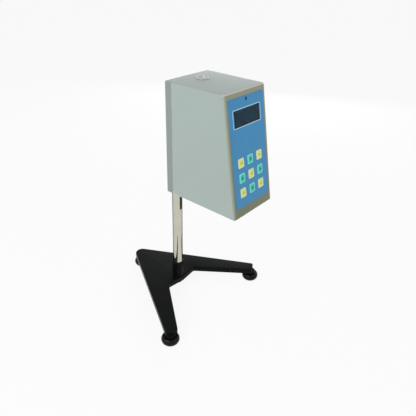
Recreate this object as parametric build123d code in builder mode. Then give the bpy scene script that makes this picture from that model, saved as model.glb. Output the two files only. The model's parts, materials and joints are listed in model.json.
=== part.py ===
from build123d import *
from math import acos, atan, cos, hypot, pi, radians, sin, tan
import os

os.makedirs("parts", exist_ok=True)

# Rotational viscometer: an instrument head on a rack-and-pinion stand with three levelling feet.
# Millimetres, +Z up, the panel faces -Y. The origin is the middle of the footprint on the bench.

# ---- driving dimensions -------------------------------------------------------------------

# head casing
head_width = 100.0
head_height = 188.0
head_top_depth = 114.0
head_bottom_depth = 147.0
head_base = 254.5            # underside of the head above the bench, as it is set on the column
wall = 2.5
casing_radius = 3.2
cover_depth = 15.0           # the rear cover's share of the depth
seam_gap = 0.2
fit_gap = 0.15               # between a fixed piece and the one that it fits in
running_gap = 0.05           # radial clearance of a shaft in its bore
seat_gap = 0.05              # a bush or bearing in its seat
grip_gap = 0.01              # a hub or knob on its shaft
blind_end = 1.0              # a blind hole past the end of what it holds
edge_margin = 1.0            # keeps the choice of a casing's edges off the edges at its rims

# stand
column_setback = 24.0        # column axis behind the head
column_radius = 9.6
column_top = 420.0
column_spigot_radius = 6.0
column_chamfer = 1.0
column_hub_radius = 11.4      # cast socket round the column's foot
column_hub_height = 34.0
column_hub_edge = 1.2
spigot_overhang = 1.0        # spigot's end below its nut
plate_top = 32.0
plate_thickness = 11.0
plate_edge_radius = 2.4
apex_reach = 138.4           # where the two straight sides would meet, behind the column
apex_radius = 14.0
leg_end_x = 133.0
leg_end_reach = 96.0
leg_end_width = 23.0
leg_corner_radius = 4.0
web_half_width = 37.0
web_corner_reach = 9.5
web_nose_reach = 14.0
web_corner_radius = 7.0
front_foot_x = 122.0
front_foot_reach = 97.3
rear_foot_reach = 110.8

# levelling feet
foot_radius = 16.6
foot_lip_radius = 12.6
foot_shoulder_radius = 13.0
foot_shoulder_height = 15.6
foot_hub_radius = 8.5
foot_lip_height = 1.0
sole_radius = 11.0
sole_thickness = 2.0
boss_height = 3.0
boss_radius = 9.5
stud_radius = 3.95
stud_engagement = 11.0
foot_hole_depth = 12.2
foot_travel = 5.0

# column nut
nut_across_flats = 17.0
nut_height = 5.0
nut_flange_radius = 10.0
nut_flange_height = 1.5

# rack and pinion
tooth_module = 1.0
pinion_teeth = 12
pressure_angle = radians(20)
rack_addendum = 0.7
pinion_addendum = 0.9
rack_dedendum = 1.15
pinion_dedendum = 1.0
backlash = 0.12
rack_width = 6.0
rack_depth = 3.7
rack_crest_inset = 0.7       # tooth crests inside the column's surface
rack_tab = 8.0
rack_overhang = 65.0         # rack's lower end below the head
rack_top_margin = 4.0
rack_screw_inset = 3.6
rack_screw_length = 8.0
rack_screw_end_gap = 0.2
rack_screw_head_radius = 2.4
rack_screw_sink = 0.05
rack_countersink_radius = 2.6
pinion_width = 5.4
pinion_shaft_radius = 3.0
pinion_height = 75.0         # pinion axis above the head's underside
pinion_side_gap = 0.4
bush_side_gap = 1.0
shaft_end_play = 0.3
tooth_root_lap = 0.3
tooth_undercut = 0.02

# lift bracket
bracket_bottom_height = 40.0
bracket_height = 70.0
bracket_wall = 5.0
bracket_neck_width = 25.0
flange_corner_radius = 1.5
flange_width = 48.0
flange_thickness = 6.0
bracket_bore_gap = 0.06
bush_radius = 7.3
bush_column_gap = 0.24
shaft_boss_radius = 9.3
shaft_boss_end = 42.0
shaft_blind_depth = 8.0
knob_radius = 15.0
knob_length = 18.0
knob_standoff = 3.0          # knob clear of the head's side
knob_flutes = 20
knob_flute_radius = 1.2
knob_edge_radius = 1.0
knob_hub_radius = 8.0
knob_hub_gap = 0.6
knob_cap = 3.0
tension_height = 52.0
tension_boss_radius = 7.0
tension_boss_end = 20.0
tension_screw_radius = 3.0
tension_knob_radius = 9.0
tension_knob_length = 12.0
tension_knob_flutes = 12
tension_knob_gap = 1.0
brake_pad_length = 2.0
bracket_screw_x = 18.0
bracket_screw_inset = 8.0
m4_radius = 2.0
m4_head_radius = 3.5
m4_head_height = 4.0
m4_socket_radius = 1.5
m4_length = 16.0

# casing screws and posts
post_radius = 4.0
post_length = 20.0
post_rise = 12.0
post_root = 0.4              # a post sunk in the wall beside it
m3_radius = 1.45
m3_head_radius = 2.8
m3_head_height = 1.9
m3_length = 26.0
screw_hole_gap = 0.1

# floor, mounting plate and collar
floor_thickness = 5.0
mount_plate_thickness = 3.0
mount_plate_width = 48.0
mount_plate_height = 112.0
mount_tongue_width = 34.0
mount_tongue_top_gap = 13.0
mount_foot_depth = 14.0
spindle_setback = 65.0       # spindle axis in front of the head's back
collar_radius = 15.0
collar_drop = 10.0
collar_spigot_radius = 15.5  # where it passes through the floor
collar_flange_radius = 22.0
collar_flange_height = 3.0
collar_bore_radius = 7.5
bearing_radius = 8.0
bearing_height = 5.0

# spindle and drive, heights above the head's underside
spindle_radius = 2.5
stud_drop = 24.0
thread_radius = 1.5
thread_length = 6.0
coupling_radius = 5.5
coupling_drop = 16.5
coupling_height = 12.0
coupling_flutes = 16
coupling_flute_radius = 0.5
pivot_top = 48.0
driven_disc_height = 40.0
drive_disc_height = 54.0
disc_radius = 22.0
disc_thickness = 1.0
disc_slots = 24
disc_slot_width = 1.6
disc_slot_length = 3.0
disc_slot_centre = 19.0
hub_radius = 6.0
driven_hub_height = 6.0
drive_hub_height = 8.0
drive_hub_drop = 2.0
shaft_end_gap = 1.0
pillar_radius = 3.5
pillar_offset = 25.0
pillar_top = 95.0
motor_plate_width = 60.0
motor_plate_thickness = 3.0
motor_plate_bore_radius = 11.0
motor_width = 42.0
motor_height = 36.0
motor_corner_chamfer = 4.0
motor_screw_offset = 15.5
motor_screw_reach = 4.0
drive_shaft_length = 52.0
spring_height = 45.0
spring_width = 2.0
spring_strip = 0.35
spring_inner_radius = 4.0
spring_outer_radius = 12.6
spring_turns = 5
peg_radius = 1.0
peg_offset = 14.0
sensor_inner_reach = 18.0
sensor_outer_reach = 27.0
sensor_half_width = 6.0
sensor_half_height = 5.0
sensor_slot_half = 1.6
sensor_slot_reach = 24.0
sensor_board_width = 28.0
sensor_board_height = 62.0

# circuit boards
board_thickness = 1.6
board_width = 84.0
main_board_bottom = 17.0
main_board_gap = 8.0
power_board_top_gap = 16.0   # below the head's top, clear of the bubble level
power_board_height = 54.0
boards_apart = 5.0
power_board_gap = 20.0
spacer_radius = 2.5
spacer_inset = 5.0
spacer_x = 12.0
transformer_width = 34.0
transformer_height = 30.0
transformer_depth = 26.0
transformer_rise = 21.0

# panel, distances down the slope from its top edge
overlay_width = 86.0
overlay_top = 9.0
overlay_bottom_margin = 14.87
overlay_thickness = 0.5
overlay_corner_radius = 3.0
window_width = 62.8
window_height = 24.8
window_centre = 39.0
window_lap = 1.4
window_thickness = 1.5
led_down = 13.8
led_radius = 1.4
key_width = 14.2
key_height = 15.2
key_pitch_x = 23.3
key_pitch_y = 23.8
key_centre_rise = 61.57      # middle row above the panel's lower edge
key_corner_radius = 1.2
key_gap = 0.3
key_rise = 1.1
key_travel = 0.8
key_flange_lap = 1.4
key_flange_thickness = 1.2
key_stem_radius = 2.0
key_stem_end = 6.1
switch_width = 6.0
switch_height = 3.4
keypad_board_width = 80.0
keypad_board_height = 76.0
keypad_board_depth = 10.6
display_board_width = 82.0
display_board_height = 38.0
display_bezel_width = 72.0
display_bezel_height = 31.0
display_bezel_depth = 8.0
display_bezel_gap = 0.3
panel_post_radius = 2.4
panel_post_inset = 3.6
display_post_inset = 2.4
led_flange_width = 0.6
led_flange_height = 3.0

# bubble level
level_setback = 33.0
level_flange_radius = 11.0
level_flange_height = 1.2
level_body_radius = 8.8
level_body_depth = 9.0
level_glass_radius = 7.6
level_glass_thickness = 1.6
level_glass_recess = 0.3
level_bore_radius = 6.9
level_floor = 2.0
level_chamfer = 0.4

# sockets and switch on the rear cover
inlet_x = 32.0
inlet_drop = 42.0            # below the head's top
inlet_flange_width = 22.0
inlet_flange_height = 48.0
inlet_flange_thickness = 2.0
inlet_body_width = 20.4
inlet_body_height = 27.6
inlet_body_depth = 20.0
inlet_mouth_width = 16.4
inlet_mouth_height = 24.0
inlet_mouth_depth = 16.0
inlet_pin_recess = 5.0
inlet_pin_pitch = 7.0
inlet_pin_offset = 2.0
inlet_pin_thickness = 2.0
inlet_pin_width = 4.0
socket_corner_radius = 2.0
switch_x = 32.0
switch_drop = 42.0
rocker_width = 9.0
rocker_height = 17.0
rocker_wall = 2.0
rocker_flange = 2.2
rocker_flange_thickness = 1.6
rocker_body_depth = 14.0
rocker_tilt = 8.0
rocker_crown = 3.2
rocker_depth = 6.0
rocker_gap = 0.4
rocker_foot_inset = 2.4
rocker_waist_inset = 0.6
rocker_tip_inset = 1.0
rocker_pivot_radius = 1.2
rocker_pivot_reach = 0.8     # pivot's ends in the switch's walls
port_x = 33.0
port_centre = 31.0
port_flange_width = 12.5
port_flange_height = 31.0
port_flange_thickness = 1.0
port_shell_width = 8.2
port_shell_height = 17.0
port_shell_length = 5.0
port_body_width = 10.8
port_body_height = 19.0
port_body_depth = 10.0

# ---- places worked out from them ----------------------------------------------------------

head_front_reach = column_setback + head_bottom_depth
foot_back_reach = rear_foot_reach + foot_radius
column_y = (head_front_reach - foot_back_reach) / 2
back_y = column_y - column_setback
seam_y = back_y - cover_depth
spindle_y = back_y - spindle_setback
head_top = head_base + head_height
plate_bottom = plate_top - plate_thickness
boss_bottom = plate_bottom - boss_height
slope = atan((head_bottom_depth - head_top_depth) / head_height)
slope_length = hypot(head_bottom_depth - head_top_depth, head_height)
overlay_bottom = slope_length - overlay_bottom_margin
key_centre = slope_length - key_centre_rise
mount_tongue_height = head_height - floor_thickness - mount_tongue_top_gap
power_board_bottom = head_height - power_board_top_gap - power_board_height
main_board_height = power_board_bottom - boards_apart - main_board_bottom
panel = Plane(
    origin=(0, back_y - head_top_depth, head_top), x_dir=(1, 0, 0), z_dir=(0, -cos(slope), sin(slope))
)
half = head_width / 2


def front_at(height, inset=0.0):
    """y of the sloping front at a height above the head's underside, set in by a wall"""
    return back_y - head_bottom_depth + height * tan(slope) + inset / cos(slope)


def upright(x, y):
    """plane through a vertical axis, with the profile's x as its radius and y as its height"""
    return Plane(origin=(x, y, 0), x_dir=(1, 0, 0), z_dir=(0, -1, 0))


def save(part, name):
    part.label = name
    export_step(part, f"parts/{name}.step")


# ---- stand --------------------------------------------------------------------------------

front_feet_y = column_y - front_foot_reach
feet = {
    "left": (-front_foot_x, front_feet_y),
    "right": (front_foot_x, front_feet_y),
    "rear": (0, column_y + rear_foot_reach),
}
side_length = hypot(leg_end_x, apex_reach + leg_end_reach)
inner_end_x = leg_end_x - leg_end_width * (apex_reach + leg_end_reach) / side_length
inner_end_y = -leg_end_reach - leg_end_width * leg_end_x / side_length

with BuildPart() as base_plate:
    with BuildSketch(Plane((0, column_y, plate_bottom))) as outline:
        with BuildLine():
            Polyline(
                (0, apex_reach),
                (leg_end_x, -leg_end_reach),
                (inner_end_x, inner_end_y),
                (web_half_width, -web_corner_reach),
                (0, -web_nose_reach),
                (-web_half_width, -web_corner_reach),
                (-inner_end_x, inner_end_y),
                (-leg_end_x, -leg_end_reach),
                close=True,
            )
        make_face()
        fillet(outline.vertices().sort_by(Axis.Y)[-1], apex_radius)
        fillet(outline.vertices().sort_by(Axis.Y)[:4], leg_corner_radius)
        fillet(
            outline.vertices().filter_by(lambda v: abs(abs(v.X) - web_half_width) < 0.01),
            web_corner_radius,
        )
    extrude(amount=plate_thickness)
    fillet(base_plate.faces().sort_by(Axis.Z)[-1].edges(), plate_edge_radius)
    with BuildSketch(Plane.XY.offset(boss_bottom)):
        with Locations(*feet.values()):
            Circle(boss_radius)
    extrude(amount=boss_height)
    with BuildSketch(Plane.XY.offset(boss_bottom)):
        with Locations(*feet.values()):
            Circle(stud_radius + running_gap)
    extrude(amount=foot_hole_depth, mode=Mode.SUBTRACT)
    with BuildSketch(Plane((0, column_y, plate_bottom))):
        Circle(column_hub_radius)
    extrude(amount=plate_thickness + column_hub_height)
    fillet(base_plate.faces().sort_by(Axis.Z)[-1].edges(), column_hub_edge)
    with BuildSketch(Plane((0, column_y, plate_top))):
        Circle(column_radius + running_gap)
    extrude(amount=column_hub_height, mode=Mode.SUBTRACT)
    with BuildSketch(Plane((0, column_y, plate_bottom))):
        Circle(column_spigot_radius + running_gap)
    extrude(amount=plate_thickness, mode=Mode.SUBTRACT)
save(base_plate.part, "base_plate")

knob_top = boss_bottom - running_gap
for place, (x, y) in feet.items():
    with BuildPart() as foot_screw:
        with BuildSketch(upright(x, y)):
            with BuildLine():
                recess = sole_thickness + running_gap
                recess_radius = sole_radius + fit_gap
                mid_height = (foot_lip_height + foot_shoulder_height) / 2
                Polyline(
                    (0, recess),
                    (recess_radius, recess),
                    (recess_radius, foot_lip_height),
                    (foot_lip_radius, foot_lip_height),
                )
                ThreePointArc(
                    (foot_lip_radius, foot_lip_height),
                    (foot_radius, mid_height),
                    (foot_shoulder_radius, foot_shoulder_height),
                )
                Polyline(
                    (foot_shoulder_radius, foot_shoulder_height),
                    (foot_hub_radius, foot_shoulder_height),
                    (foot_hub_radius, knob_top),
                    (stud_radius, knob_top),
                    (stud_radius, boss_bottom + stud_engagement),
                    (0, boss_bottom + stud_engagement),
                    (0, recess),
                )
            make_face()
        revolve(axis=Axis((x, y, 0), (0, 0, 1)))
    save(foot_screw.part, f"{place}_foot_screw")
    with BuildPart() as foot_sole:
        with BuildSketch(Plane((x, y, 0))):
            Circle(sole_radius)
        extrude(amount=sole_thickness)
    save(foot_sole.part, f"{place}_foot_sole")

# the rack lies in a slot down the column's front and is screwed in at both ends
rack_bottom = head_base - rack_overhang
rack_top = column_top - rack_top_margin
rack_crest_radius = column_radius - rack_crest_inset
rack_front_y = column_y - rack_crest_radius
rack_back_y = rack_front_y + rack_depth
rack_screws_z = (rack_bottom + rack_screw_inset, rack_top - rack_screw_inset)
rack_screw_plane = Plane(origin=(0, rack_front_y, 0), x_dir=(1, 0, 0), z_dir=(0, -1, 0))

with BuildPart() as column:
    with BuildSketch(Plane((0, column_y, plate_top))):
        Circle(column_radius)
    extrude(amount=column_top - plate_top)
    chamfer(column.edges().sort_by(Axis.Z)[-1], column_chamfer)
    spigot_bottom = plate_bottom - nut_flange_height - nut_height - spigot_overhang
    with BuildSketch(Plane((0, column_y, spigot_bottom))):
        Circle(column_spigot_radius)
    extrude(amount=plate_top - spigot_bottom)
    with BuildSketch(Plane.XZ.offset(-rack_back_y)):
        with Locations((0, (rack_bottom + column_top) / 2)):
            Rectangle(rack_width + 2 * running_gap, column_top - rack_bottom)
    extrude(amount=column_radius, mode=Mode.SUBTRACT)
    with BuildSketch(Plane.XZ.offset(-rack_back_y)):
        with Locations(*[(0, z) for z in rack_screws_z]):
            Circle(m3_radius)
    extrude(amount=-(rack_screw_length - rack_depth), mode=Mode.SUBTRACT)
save(column.part, "column")

with BuildPart() as column_nut:
    with BuildSketch(Plane((0, column_y, plate_bottom - nut_flange_height))):
        Circle(nut_flange_radius)
    extrude(amount=nut_flange_height)
    with BuildSketch(Plane((0, column_y, plate_bottom - nut_flange_height - nut_height))):
        RegularPolygon(nut_across_flats / 2, 6, major_radius=False)
    extrude(amount=nut_height)
    with BuildSketch(Plane((0, column_y, plate_bottom))):
        Circle(column_spigot_radius + running_gap)
    extrude(amount=-(nut_flange_height + nut_height), mode=Mode.SUBTRACT)
save(column_nut.part, "column_nut")

tooth_pitch = pi * tooth_module
pinion_radius = tooth_module * pinion_teeth / 2
pitch_line = rack_crest_radius - rack_addendum
pinion_y = column_y - pitch_line - pinion_radius
pinion_z = head_base + pinion_height
half_tooth = tooth_pitch / 4 - backlash / 2


def rack_gap():
    """outline of the space between two rack teeth: across is the height, x the depth from the crest"""
    crest = tooth_pitch / 2 - half_tooth + rack_addendum * tan(pressure_angle)
    root = tooth_pitch / 2 - half_tooth - rack_dedendum * tan(pressure_angle)
    depth = rack_addendum + rack_dedendum
    return [(-1, -crest), (0, -crest), (depth, -root), (depth, root), (0, crest), (-1, crest)]


first_gap = int((pinion_z - rack_bottom - rack_tab) / tooth_pitch)
last_gap = int((rack_top - rack_tab - pinion_z) / tooth_pitch)
rack_gaps_z = [pinion_z + k * tooth_pitch for k in range(-first_gap, last_gap + 1)]
with BuildPart() as rack:
    with BuildSketch(Plane.YZ.offset(-rack_width / 2)):
        with Locations(((rack_front_y + rack_back_y) / 2, (rack_bottom + rack_top) / 2)):
            Rectangle(rack_depth, rack_top - rack_bottom)
        with Locations(*[(rack_front_y, z) for z in rack_gaps_z]):
            Polygon(*rack_gap(), align=None, mode=Mode.SUBTRACT)
    extrude(amount=rack_width)
    with Locations(*[rack_screw_plane.location * Pos(0, z, 0) for z in rack_screws_z]):
        CounterSinkHole(m3_radius + screw_hole_gap, rack_countersink_radius)
save(rack.part, "rack")

with BuildPart() as rack_screws:
    with BuildSketch(rack_screw_plane):
        with Locations(*[(0, z) for z in rack_screws_z]):
            Circle(m3_radius)
    extrude(amount=rack_screw_end_gap - rack_screw_length)
    for z in rack_screws_z:
        with BuildSketch(Plane(origin=(0, rack_front_y + rack_screw_sink, z), z_dir=(0, 1, 0))):
            Circle(rack_screw_head_radius)
        extrude(amount=rack_screw_head_radius - m3_radius, taper=45)
save(rack_screws.part, "rack_screws")

# ---- lift bracket -------------------------------------------------------------------------

bracket_bottom = head_base + bracket_bottom_height
bracket_top = bracket_bottom + bracket_height
flange_y = back_y + flange_thickness
tension_z = head_base + tension_height
bracket_screws_z = (bracket_bottom + bracket_screw_inset, bracket_top - bracket_screw_inset)
bracket_screw_points = [(x, z) for x in (-bracket_screw_x, bracket_screw_x) for z in bracket_screws_z]
bush_start = pinion_width / 2 + bush_side_gap

with BuildPart() as lift_bracket:
    with BuildSketch(Plane((0, 0, bracket_bottom))) as section:
        with Locations((0, column_y)):
            Circle(column_radius + bracket_wall)
        with Locations((0, (back_y + column_y) / 2)):
            Rectangle(bracket_neck_width, column_setback)
        with Locations((0, (back_y + flange_y) / 2)):
            Rectangle(flange_width, flange_thickness)
    extrude(amount=bracket_height)
    upright_edges = lift_bracket.edges().filter_by(Axis.Z)
    fillet(
        upright_edges.filter_by(lambda e: abs(abs(e.center().X) - flange_width / 2) < 0.01),
        flange_corner_radius,
    )
    with BuildSketch(Plane.YZ):
        with Locations((pinion_y, pinion_z)):
            Circle(shaft_boss_radius)
    extrude(amount=shaft_boss_end)
    with BuildSketch(Plane.YZ):
        with Locations((column_y, tension_z)):
            Circle(tension_boss_radius)
    extrude(amount=tension_boss_end)
    with BuildSketch(Plane((0, column_y, bracket_bottom))):
        Circle(column_radius + bracket_bore_gap)
    extrude(amount=bracket_height, mode=Mode.SUBTRACT)
    with BuildSketch(Plane.YZ.offset(-pinion_width / 2 - pinion_side_gap)):
        with Locations((pinion_y, pinion_z)):
            Circle(bush_radius + seat_gap)
    extrude(amount=shaft_boss_end + pinion_width, mode=Mode.SUBTRACT)
    with BuildSketch(Plane.YZ.offset(-pinion_width / 2)):
        with Locations((pinion_y, pinion_z)):
            Circle(pinion_shaft_radius + running_gap)
    extrude(amount=-shaft_blind_depth, mode=Mode.SUBTRACT)
    with BuildSketch(Plane.YZ):
        with Locations((column_y, tension_z)):
            Circle(tension_screw_radius + running_gap)
    extrude(amount=tension_boss_end, mode=Mode.SUBTRACT)
    with BuildSketch(Plane.XZ.offset(-back_y)):
        with Locations(*bracket_screw_points):
            Circle(m4_radius + screw_hole_gap)
    extrude(amount=-flange_thickness, mode=Mode.SUBTRACT)
save(lift_bracket.part, "lift_bracket")

with BuildPart() as bracket_screws:
    with BuildSketch(Plane.XZ.offset(-flange_y)):
        with Locations(*bracket_screw_points):
            Circle(m4_radius)
    extrude(amount=m4_length)
    with BuildSketch(Plane.XZ.offset(-flange_y)):
        with Locations(*bracket_screw_points):
            Circle(m4_head_radius)
            RegularPolygon(m4_socket_radius, 6, major_radius=False, mode=Mode.SUBTRACT)
    extrude(amount=-m4_head_height)
    with BuildSketch(Plane.XZ.offset(-flange_y)):
        with Locations(*bracket_screw_points):
            Circle(m4_radius)
    extrude(amount=-m4_head_height / 2)
save(bracket_screws.part, "bracket_screws")

with BuildPart() as pinion_bush:
    with BuildSketch(Plane.YZ.offset(bush_start)):
        with Locations((pinion_y, pinion_z)):
            Circle(bush_radius)
            Circle(pinion_shaft_radius + running_gap, mode=Mode.SUBTRACT)
    extrude(amount=shaft_boss_end - bush_start)
    with BuildSketch(Plane((0, column_y, bracket_bottom))):
        Circle(column_radius + bush_column_gap)
    extrude(amount=bracket_height, mode=Mode.SUBTRACT)
save(pinion_bush.part, "pinion_bush")


def pinion_tooth():
    """one involute tooth that points along +x"""
    base = pinion_radius * cos(pressure_angle)
    tip = pinion_radius + pinion_addendum
    root = pinion_radius - pinion_dedendum
    at_base = half_tooth / pinion_radius + tan(pressure_angle) - pressure_angle
    flank = [(root - tooth_root_lap, at_base - tooth_undercut)]
    for step in range(5):
        radius = base + (tip - base) * step / 4
        angle = acos(base / radius)
        flank.append((radius, at_base - (tan(angle) - angle)))
    side = [(r * cos(a), r * sin(a)) for r, a in flank]
    return side + [(x, -y) for x, y in reversed(side)]


knob_start = half + knob_standoff
knob_end = knob_start + knob_length
shaft_start = shaft_end_play - pinion_width / 2 - shaft_blind_depth
with BuildPart() as pinion_shaft:
    with BuildSketch(Plane.YZ.offset(shaft_start)):
        with Locations((pinion_y, pinion_z)):
            Circle(pinion_shaft_radius)
    extrude(amount=knob_end - knob_cap - shaft_start)
    with BuildSketch(Plane.YZ.offset(-pinion_width / 2)):
        with Locations((pinion_y, pinion_z)):
            Circle(pinion_radius - pinion_dedendum)
            with PolarLocations(0, pinion_teeth):
                Polygon(*pinion_tooth(), align=None)
    extrude(amount=pinion_width)
save(pinion_shaft.part, "pinion_shaft")

with BuildPart() as lift_knob:
    with BuildSketch(Plane.YZ.offset(knob_start)):
        with Locations((pinion_y, pinion_z)):
            Circle(knob_radius)
    extrude(amount=knob_length)
    fillet(lift_knob.edges().filter_by(GeomType.CIRCLE), knob_edge_radius)
    with BuildSketch(Plane.YZ.offset(knob_start)):
        with Locations((pinion_y, pinion_z)):
            with PolarLocations(knob_radius + knob_flute_radius / 3, knob_flutes):
                Circle(knob_flute_radius)
    extrude(amount=knob_length, mode=Mode.SUBTRACT)
    with BuildSketch(Plane.YZ.offset(half + knob_hub_gap)):
        with Locations((pinion_y, pinion_z)):
            Circle(knob_hub_radius)
    extrude(amount=knob_start - half - knob_hub_gap)
    with BuildSketch(Plane.YZ.offset(half + knob_hub_gap)):
        with Locations((pinion_y, pinion_z)):
            Circle(pinion_shaft_radius + grip_gap)
    extrude(amount=knob_end - knob_cap - half - knob_hub_gap, mode=Mode.SUBTRACT)
save(lift_knob.part, "lift_knob")

pad_start = column_radius + running_gap
screw_tip = pad_start + brake_pad_length + running_gap
tension_knob_start = tension_boss_end + tension_knob_gap
with BuildPart() as brake_pad:
    with BuildSketch(Plane.YZ):
        with Locations((column_y, tension_z)):
            Circle(tension_screw_radius)
    extrude(amount=pad_start + brake_pad_length)
    with BuildSketch(Plane((0, column_y, bracket_bottom))):
        Circle(pad_start)
    extrude(amount=bracket_height, mode=Mode.SUBTRACT)
save(brake_pad.part, "brake_pad")

with BuildPart() as tension_knob:
    with BuildSketch(Plane.YZ.offset(tension_knob_start)):
        with Locations((column_y, tension_z)):
            Circle(tension_knob_radius)
    extrude(amount=tension_knob_length)
    fillet(tension_knob.edges().filter_by(GeomType.CIRCLE), knob_edge_radius)
    with BuildSketch(Plane.YZ.offset(tension_knob_start)):
        with Locations((column_y, tension_z)):
            with PolarLocations(tension_knob_radius + knob_flute_radius / 3, tension_knob_flutes):
                Circle(knob_flute_radius)
    extrude(amount=tension_knob_length, mode=Mode.SUBTRACT)
    with BuildSketch(Plane.YZ.offset(screw_tip)):
        with Locations((column_y, tension_z)):
            Circle(tension_screw_radius)
    extrude(amount=tension_knob_start - screw_tip)
save(tension_knob.part, "tension_knob")

# ---- head casing --------------------------------------------------------------------------

post_x = half - wall - post_radius + post_root
post_top_z = head_top - wall - post_radius + post_root
post_points = [(x, z) for x in (-post_x, post_x) for z in (head_base + post_rise, post_top_z)]


def corner_points(width, height, centre, inset_x, inset_y):
    """four points inside the corners of a board on the panel, centred that far down the slope"""
    across = width / 2 - inset_x
    up = height / 2 - inset_y
    return [(x, y - centre) for x in (-across, across) for y in (-up, up)]


keypad_posts = corner_points(
    keypad_board_width, keypad_board_height, key_centre, panel_post_inset, panel_post_inset
)
display_posts = corner_points(
    display_board_width, display_board_height, window_centre, display_post_inset, panel_post_inset
)
key_points = [
    ((column_no - 1) * key_pitch_x, -key_centre + (1 - row_no) * key_pitch_y)
    for row_no in range(3)
    for column_no in range(3)
]
display_board_depth = wall + display_bezel_gap + display_bezel_depth
level_y = back_y - level_setback

with BuildPart() as front_housing:
    with BuildSketch(Plane.YZ.offset(-half)):
        with BuildLine():
            Polyline(
                (seam_y - seam_gap, head_base),
                (front_at(0), head_base),
                (front_at(head_height), head_top),
                (seam_y - seam_gap, head_top),
                close=True,
            )
        make_face()
    extrude(amount=head_width)
    fillet(
        front_housing.edges().filter_by(
            lambda e: e.center().Z > head_base + edge_margin and e.center().Y < seam_y - edge_margin
        ),
        casing_radius,
    )
    with BuildSketch(Plane.YZ.offset(-half + wall)):
        with BuildLine():
            Polyline(
                (seam_y, head_base),
                (front_at(0, wall), head_base),
                (front_at(head_height - wall, wall), head_top - wall),
                (seam_y, head_top - wall),
                close=True,
            )
        make_face()
    extrude(amount=head_width - 2 * wall, mode=Mode.SUBTRACT)
    with BuildSketch(Plane.XZ.offset(-seam_y + seam_gap)):
        with Locations(*post_points):
            Circle(post_radius)
    extrude(amount=post_length)
    with BuildSketch(Plane.XZ.offset(-seam_y + seam_gap)):
        with Locations(*post_points):
            Circle(m3_radius + running_gap)
    extrude(amount=post_length - blind_end, mode=Mode.SUBTRACT)
    with BuildSketch(panel.offset(-wall)):
        with Locations(*keypad_posts):
            Circle(panel_post_radius)
    extrude(amount=-(keypad_board_depth - wall))
    with BuildSketch(panel.offset(-wall)):
        with Locations(*display_posts):
            Circle(panel_post_radius)
    extrude(amount=-(display_board_depth - wall))
    with BuildSketch(panel):
        with Locations(*key_points):
            Rectangle(key_width + 2 * key_gap, key_height + 2 * key_gap)
        with Locations((0, -window_centre)):
            Rectangle(
                window_width + 2 * (window_lap + fit_gap), window_height + 2 * (window_lap + fit_gap)
            )
        with Locations((0, -led_down)):
            Circle(led_radius + running_gap)
    extrude(amount=-wall, mode=Mode.SUBTRACT)
    with BuildSketch(Plane.XY.offset(head_top)):
        with Locations((0, level_y)):
            Circle(level_body_radius + fit_gap)
    extrude(amount=-wall, mode=Mode.SUBTRACT)
save(front_housing.part, "front_housing")

socket_places = {
    "inlet": (-inlet_x, head_top - inlet_drop),
    "switch": (switch_x, head_top - switch_drop),
    "port": (port_x, head_base + port_centre),
}
switch_body_width = rocker_width + 2 * rocker_wall
switch_body_height = rocker_height + 2 * rocker_wall
with BuildPart() as rear_cover:
    with BuildSketch(Plane.XZ.offset(-back_y)):
        with Locations((0, head_base + head_height / 2)):
            Rectangle(head_width, head_height)
    extrude(amount=cover_depth)
    fillet(
        rear_cover.edges().filter_by(
            lambda e: e.center().Z > head_base + edge_margin and e.center().Y > seam_y + edge_margin
        ),
        casing_radius,
    )
    with BuildSketch(Plane.XZ.offset(-back_y + wall)):
        with Locations((0, head_base + (head_height - wall) / 2)):
            Rectangle(head_width - 2 * wall, head_height - wall)
    extrude(amount=cover_depth - wall, mode=Mode.SUBTRACT)
    with BuildSketch(Plane.XZ.offset(-seam_y)):
        with Locations(*post_points):
            Circle(post_radius)
    extrude(amount=-(cover_depth - wall))
    with BuildSketch(Plane.XZ.offset(-seam_y)):
        with Locations(*post_points):
            Circle(m3_radius + screw_hole_gap)
    extrude(amount=-cover_depth, mode=Mode.SUBTRACT)
    with BuildSketch(Plane.XZ.offset(-back_y)):
        with Locations(*bracket_screw_points):
            Circle(m4_radius + screw_hole_gap)
        with Locations(socket_places["inlet"]):
            Rectangle(inlet_body_width + 2 * fit_gap, inlet_body_height + 2 * fit_gap)
        with Locations(socket_places["switch"]):
            Rectangle(switch_body_width + 2 * fit_gap, switch_body_height + 2 * fit_gap)
        with Locations(socket_places["port"]):
            Rectangle(port_body_width + 2 * fit_gap, port_body_height + 2 * fit_gap)
    extrude(amount=wall, mode=Mode.SUBTRACT)
save(rear_cover.part, "rear_cover")

with BuildPart() as cover_screws:
    with BuildSketch(Plane.XZ.offset(-back_y)):
        with Locations(*post_points):
            Circle(m3_radius)
    extrude(amount=m3_length)
    with BuildSketch(Plane.XZ.offset(-back_y)):
        with Locations(*post_points):
            Circle(m3_head_radius)
    extrude(amount=-m3_head_height)
    fillet(cover_screws.faces().sort_by(Axis.Y)[-4:].edges(), m3_head_height / 3)
save(cover_screws.part, "cover_screws")

floor_front_y = front_at(floor_thickness, wall) + fit_gap
floor_back_y = back_y - wall - fit_gap
with BuildPart() as bottom_plate:
    with BuildSketch(Plane((0, (floor_front_y + floor_back_y) / 2, head_base))):
        Rectangle(head_width - 2 * wall - 2 * fit_gap, floor_back_y - floor_front_y)
    extrude(amount=floor_thickness)
    with BuildSketch(Plane((0, spindle_y, head_base))):
        Circle(collar_spigot_radius + fit_gap)
    extrude(amount=floor_thickness, mode=Mode.SUBTRACT)
save(bottom_plate.part, "bottom_plate")

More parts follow.
